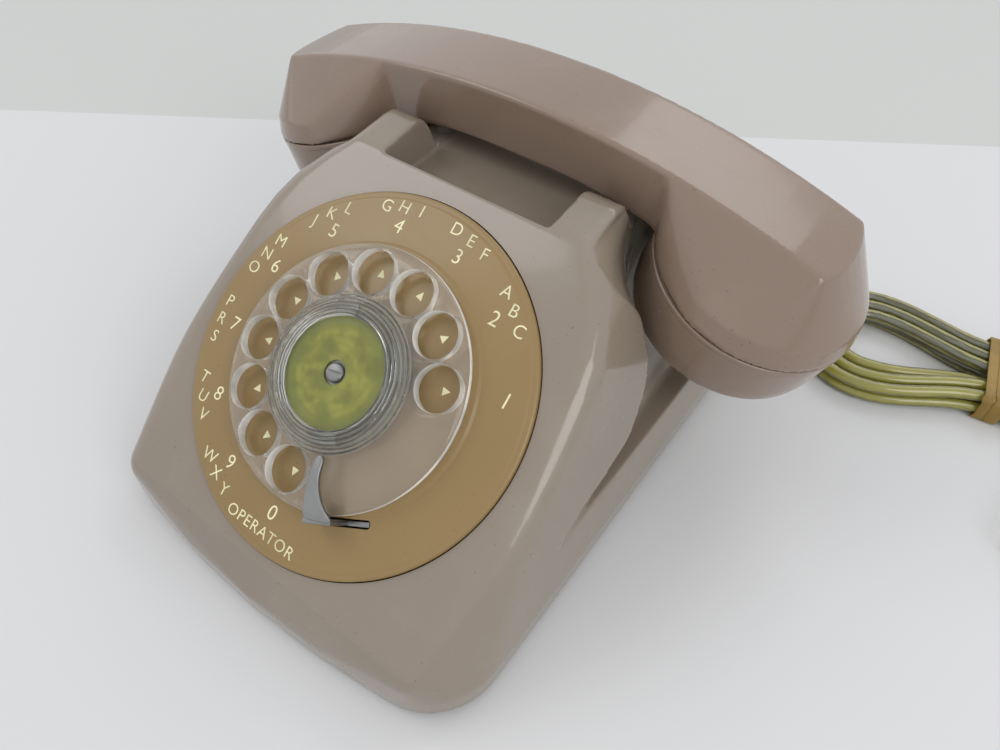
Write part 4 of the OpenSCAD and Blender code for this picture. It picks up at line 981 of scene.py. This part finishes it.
def buildWheel():
    low, top, rim, r = dial["wheelLow"], dial["wheelTop"], dial["wheel"], dial["finger"]
    outer = rounded([(37.65, low), (39.85, low + 0.3), (rim, low + 1.0), (rim, 5.9), (39.75, 6.85),
                     (37.45, 8.0), (31.8, top), (25.2, top + 0.2), (21, top + 0.2)], 0.6, 4, closed=False)
    wheel = asObject(spun([(5.6, 5), (12, 5), (16, 4.2), *outer, (21, 7), (5.6, 7)], 180))
    through = [(0, 1), (r, 1), (r, 12), (0, 12)]
    upperLip = [(0, 7.4), (r, 7.45), (7.05, 7.85), (7.5, 8.25), (8.3, 8.55), (9.3, 8.7), (9.3, 12), (0, 12)]
    lowerLip = [(0, 1), (8.0, 1), (8.0, 3.7), (7.4, 3.95), (7.0, 4.4), (r, 4.8), (0, 4.8)]
    for profile in (through, upperLip, lowerLip):
        for start in (0, 1):  # neighbours overlap, so every other one is cut first
            cutters = bmesh.new()
            for angle in holeAngles[start::2]:
                merged(cutters, moved(spun(profile, 64), around(dial["fingerCircle"], angle)))
            carved(wheel, cutters)
    wheel = dialPiece(wheel, "finger_wheel_clear", "clear", "clear_plastic", "finger_wheel", sharp=40)
    wheel.data.materials.append(finishes["clearWallGlint"])  # upright walls get a whiter, less clear copy of the wheel's plastic: a painted highlight for the light they catch
    axis = dialPlace.to_3x3() @ Vector((0, 0, 1))
    for face in wheel.data.polygons:
        face.material_index = int(abs(face.normal.dot(axis)) < 0.5)


def awayFrom(f, height):
    # distance from a spot on the dial's axis
    return f.vectorMath("DISTANCE", f.coords(), tuple(dialPlace @ Vector((0, 0, height)) * mm))


def ringFinish():
    # clear moulding with fine grooves; its colour is painted in pale and dark rings along them, a painted
    # highlight and painted shade for the light the grooves catch
    f = Finish("ring_clear")
    groove = (awayFrom(f, dial["wheelTop"] + 1.5) * (2 * pi / (dial["groove"] * mm))).calc("SINE")
    smear = f.noise(70, 4, 0.6)
    # pale and dark rings in step with the groove bump: painted highlight and painted shade
    f.set(Base_Color=f.mix(f.ramp(groove, 0.2, 0.8), (0.93, 0.93, 0.88), (0.36, 0.36, 0.31)),
          Roughness=f.ramp(smear, 0.5, 0.8) * 0.06 + 0.05, Normal=f.bump(groove, 0.7, 0.0004),
          Transmission_Weight=0.9, IOR=1.15, Specular_IOR_Level=0.6, Coat_Weight=0.2)
    return f.material


def cardFinish():
    # faded yellow-green paper: blotches, faint printed circles and a darker edge
    f = Finish("card_paper")
    away = awayFrom(f, dial["cardLow"] + dial["cardThick"])
    blotch = f.noise(150, 4, 0.6)
    circles = f.ramp((away * 2400).calc("SINE") + blotch, 0.7, 1.5)
    tones = f.mix(f.ramp(blotch, 0.36, 0.66), (0.185, 0.19, 0.045), (0.335, 0.325, 0.070))
    tones = f.mix(circles * 0.22, tones, (0.18, 0.18, 0.03))
    edge = f.ramp(away + (blotch - 0.5) * 0.006, 0.0125, 0.0160)
    f.set(Base_Color=f.mix(edge * 0.7, tones, (0.17, 0.18, 0.06)), Roughness=0.55 + blotch * 0.15,
          Normal=f.bump(blotch, 0.12, 0.0002))
    return f.material


def buildCentre():
    ring, card, low, steps = dial["ring"], dial["card"], dial["wheelTop"] + 0.2, dial["ringSteps"]
    inner = card + 0.3
    width = (ring - inner - 0.9) / steps
    outline = [(inner, low), (ring, low), (ring, low + 0.55)]
    for i in range(steps):
        r, h = ring - 0.35 - width * i, low + 0.65 + 2.2 * (i + 0.8) / steps
        outline += [(r, h), (r - width * 0.5, h + 0.08), (r - width * 0.75, h - 0.16)]
    outline += [(inner, low + 3.1)]
    ringShape = spun(rounded(outline, 0.14, 2), 160)
    dialPiece(ringShape, "centre_ring_clear", ringFinish(), "clear_plastic", "centre_ring", sharp=50)
    low, high, bore = dial["cardLow"], dial["cardLow"] + dial["cardThick"], 3.8
    disc = spun([(bore, low), (card, low), (card, high), (bore, high)], 120)
    dialPiece(disc, "number_card_paper", cardFinish(), "card", "number_card")
    z = high + 0.06
    lens = spun(rounded([(bore, z), (card, z), (card, z + 0.5), (card - 0.7, z + 1.05), (card - 3, z + 1.15),
                         (4.6, z + 1.15), (bore, z + 0.8)], 0.25, 4), 120)
    dialPiece(lens, "centre_lens_clear", "lens", "clear_plastic", "centre_lens")


clamp = {
    "tabs": [(115, 11, 20.7), (38, 17, 20.8), (205, 11, 20.7), (290, 12, 20.7)],  # angle, half width, reach
    "tabRoot": 14.5, "holes": 4, "holeCircle": 12.6, "holeRadius": 3.0,
}


def buildClamp():
    # pressed zinc disc with tabs bent over the wheel's edge, and the screw that holds it
    section = rounded([(1.7, 7), (17.2, 7), (17.2, 8.3), (6, 8.4), (6, 9.1), (1.7, 9.1)], 0.3, 3)
    disc = asObject(spun(section, 120))
    tabs = bmesh.new()
    for centre, half, reach in clamp["tabs"]:
        arc = [centre - half + half * k / 5 for k in range(11)]
        outer = [around(reach, a).translation for a in arc]
        inner = [around(clamp["tabRoot"], a).translation for a in reversed(arc)]
        flat = rounded([p.to_2d() for p in outer + inner], 1.0, 3)
        merged(tabs, softened(slab(flat, 7.05, 8.35), 0.25, 50, 2))
    carved(disc, tabs, "UNION")
    holes = bmesh.new()
    for i in range(clamp["holes"]):
        place = around(clamp["holeCircle"], 75 + 360 / clamp["holes"] * i)
        addRod(holes, (0, 0), 5, 10, clamp["holeRadius"], segments=32, place=place)
    carved(disc, holes)
    dialPiece(disc, "clamp_plate_zinc", "zinc", "zinc", "clamp_plate")
    profile = rounded([(0, 9.1), (3.0, 9.1), (3.0, 10.2), (2.4, 10.95), (1.2, 11.25), (0, 11.3)],
                      0.3, 4, closed=False)
    head = asObject(spun(profile, 64))
    slotBlock = slab([(-4, -0.42), (4, -0.42), (4, 0.42), (-4, 0.42)], 10.3, 12)
    carved(head, moved(slotBlock, Matrix.Rotation(radians(15), 4, "Z")))
    shank = bmesh.new()
    addRod(shank, (0, 0), -1.3, 9.3, 1.6, segments=32)
    carved(head, shank, "UNION")
    dialPiece(head, "centre_screw_slotted", "zinc", "zinc", "centre_screw")


stop = {
    "thick": 1.4, "strip": 1.6, "low": -12.2, "upright": 9.2,
    # the blade's outline as shares of the wheel's radius
    "blade": [(0.359, -0.967), (0.280, -0.827), (0.234, -0.699), (0.216, -0.576), (0.229, -0.541),
              (0.261, -0.534), (0.283, -0.558), (0.308, -0.657), (0.349, -0.723), (0.408, -0.787),
              (0.482, -0.836), (0.571, -0.866), (0.551, -0.900)],
}


def buildStop():
    # steel hook: the strip stands in the plate's slot, and the blade is bent over the wheel
    wheel, top, half = dial["wheel"], dial["stopTop"], stop["strip"] / 2
    outline = rounded([(x * wheel, y * wheel) for x, y in stop["blade"]], 2.2, 5)
    blade = asObject(softened(slab(outline, top - stop["thick"], top), 0.4, 50, 3))
    place, run = stopFrame()
    for long, low, high in ((run, stop["low"], 1.5), (stop["upright"], 1.0, top - 0.3)):
        part = slab([(0, -half), (long, -half), (long, half), (0, half)], low, high)
        carved(blade, moved(softened(part, 0.25, 50, 2), place), "UNION")
    dialPiece(blade, "finger_stop_hook", "steel", "steel", "finger_stop", body="base", sharp=40)


buildPlate()
buildWheel()
buildCentre()
buildClamp()
buildStop()
print("dial built")


# Characters on the number plate, raised a hair's breadth, with a small arrow under each finger hole

lettering = {
    "letters": ["", "ABC", "DEF", "GHI", "JKL", "MNO", "PRS", "TUV", "WXY"],  # beside digits 1 to 9
    "digitAt": 47.9, "digitHigh": 4.6, "letterAt": 54.0, "letterHigh": 3.9, "letterStep": 6.6,
    "zeroAt": 46.8, "word": "OPERATOR", "wordAt": 53.3, "wordAngle": 268.6, "wordHigh": 3.6,
    "barAt": 50.5, "arrowAt": 32.4, "thin": -0.006, "raised": 0.06,
}


def characterMesh(text, high, place, spacing=1.0):
    data = bpy.data.curves.new("character", "FONT")
    data.body = text
    data.size = high / 0.70
    data.align_x, data.align_y = "CENTER", "CENTER"
    data.offset, data.extrude = lettering["thin"] * high, 0.05
    data.space_character, data.resolution_u = spacing, 6
    obj = placed("character", data)
    mesh = settled(obj)
    bpy.data.objects.remove(obj)
    bpy.data.curves.remove(data)
    mesh.transform(place)
    bm = bmesh.new()
    bm.from_mesh(mesh)
    bpy.data.meshes.remove(mesh)
    return bm


def buildCharacters():
    surface, look = dial["plateTop"] + 0.01, lettering
    upright = Matrix.Rotation(pi / 2, 4, "Z")
    bar = slab(rounded([(-2.3, -0.3), (2.3, -0.3), (2.3, 0.3), (-2.3, 0.3)], 0.25, 3), 0, look["raised"])
    bm = moved(bar, around(look["barAt"], holeAngles[0], surface) @ upright)
    for i, letters in enumerate(look["letters"][1:], 1):
        at = around(look["digitAt"], holeAngles[i], surface)
        merged(bm, characterMesh(str(i + 1), look["digitHigh"], at))
        for k, letter in enumerate(letters):
            turn = look["letterStep"] * (1 - k) * (1 if i < 5 else -1)
            at = around(look["letterAt"], holeAngles[i] + turn, surface)
            merged(bm, characterMesh(letter, look["letterHigh"], at))
    merged(bm, characterMesh("0", look["digitHigh"], around(look["zeroAt"], holeAngles[-1], surface)))
    at = around(look["wordAt"], look["wordAngle"], surface)
    merged(bm, characterMesh(look["word"], look["wordHigh"], at, 1.1))
    dialPiece(bm, "plate_characters", "characters", "card", body="base")
    arrows, surface = bmesh.new(), dial["innerTop"] + 0.01
    for angle in holeAngles:
        tip = slab(rounded([(1.5, 0), (-1.1, 1.3), (-1.1, -1.3)], 0.2, 2), surface, surface + 0.05)
        merged(arrows, moved(tip, around(look["arrowAt"], angle) @ Matrix.Rotation(radians(angle), 4, "Z")))
    dialPiece(arrows, "plate_arrows", "characters", "card", body="base")


buildCharacters()
print("characters set")


for name, obj in frame["nodes"].items():
    slots = {part["node"]: part["material_slot"] for part in frame["record"]["subparts"]}
    obj.data.materials.clear()
    obj.data.materials.append(finishes[slotFinish[slots[name]]])
print("carried-over nodes finished")
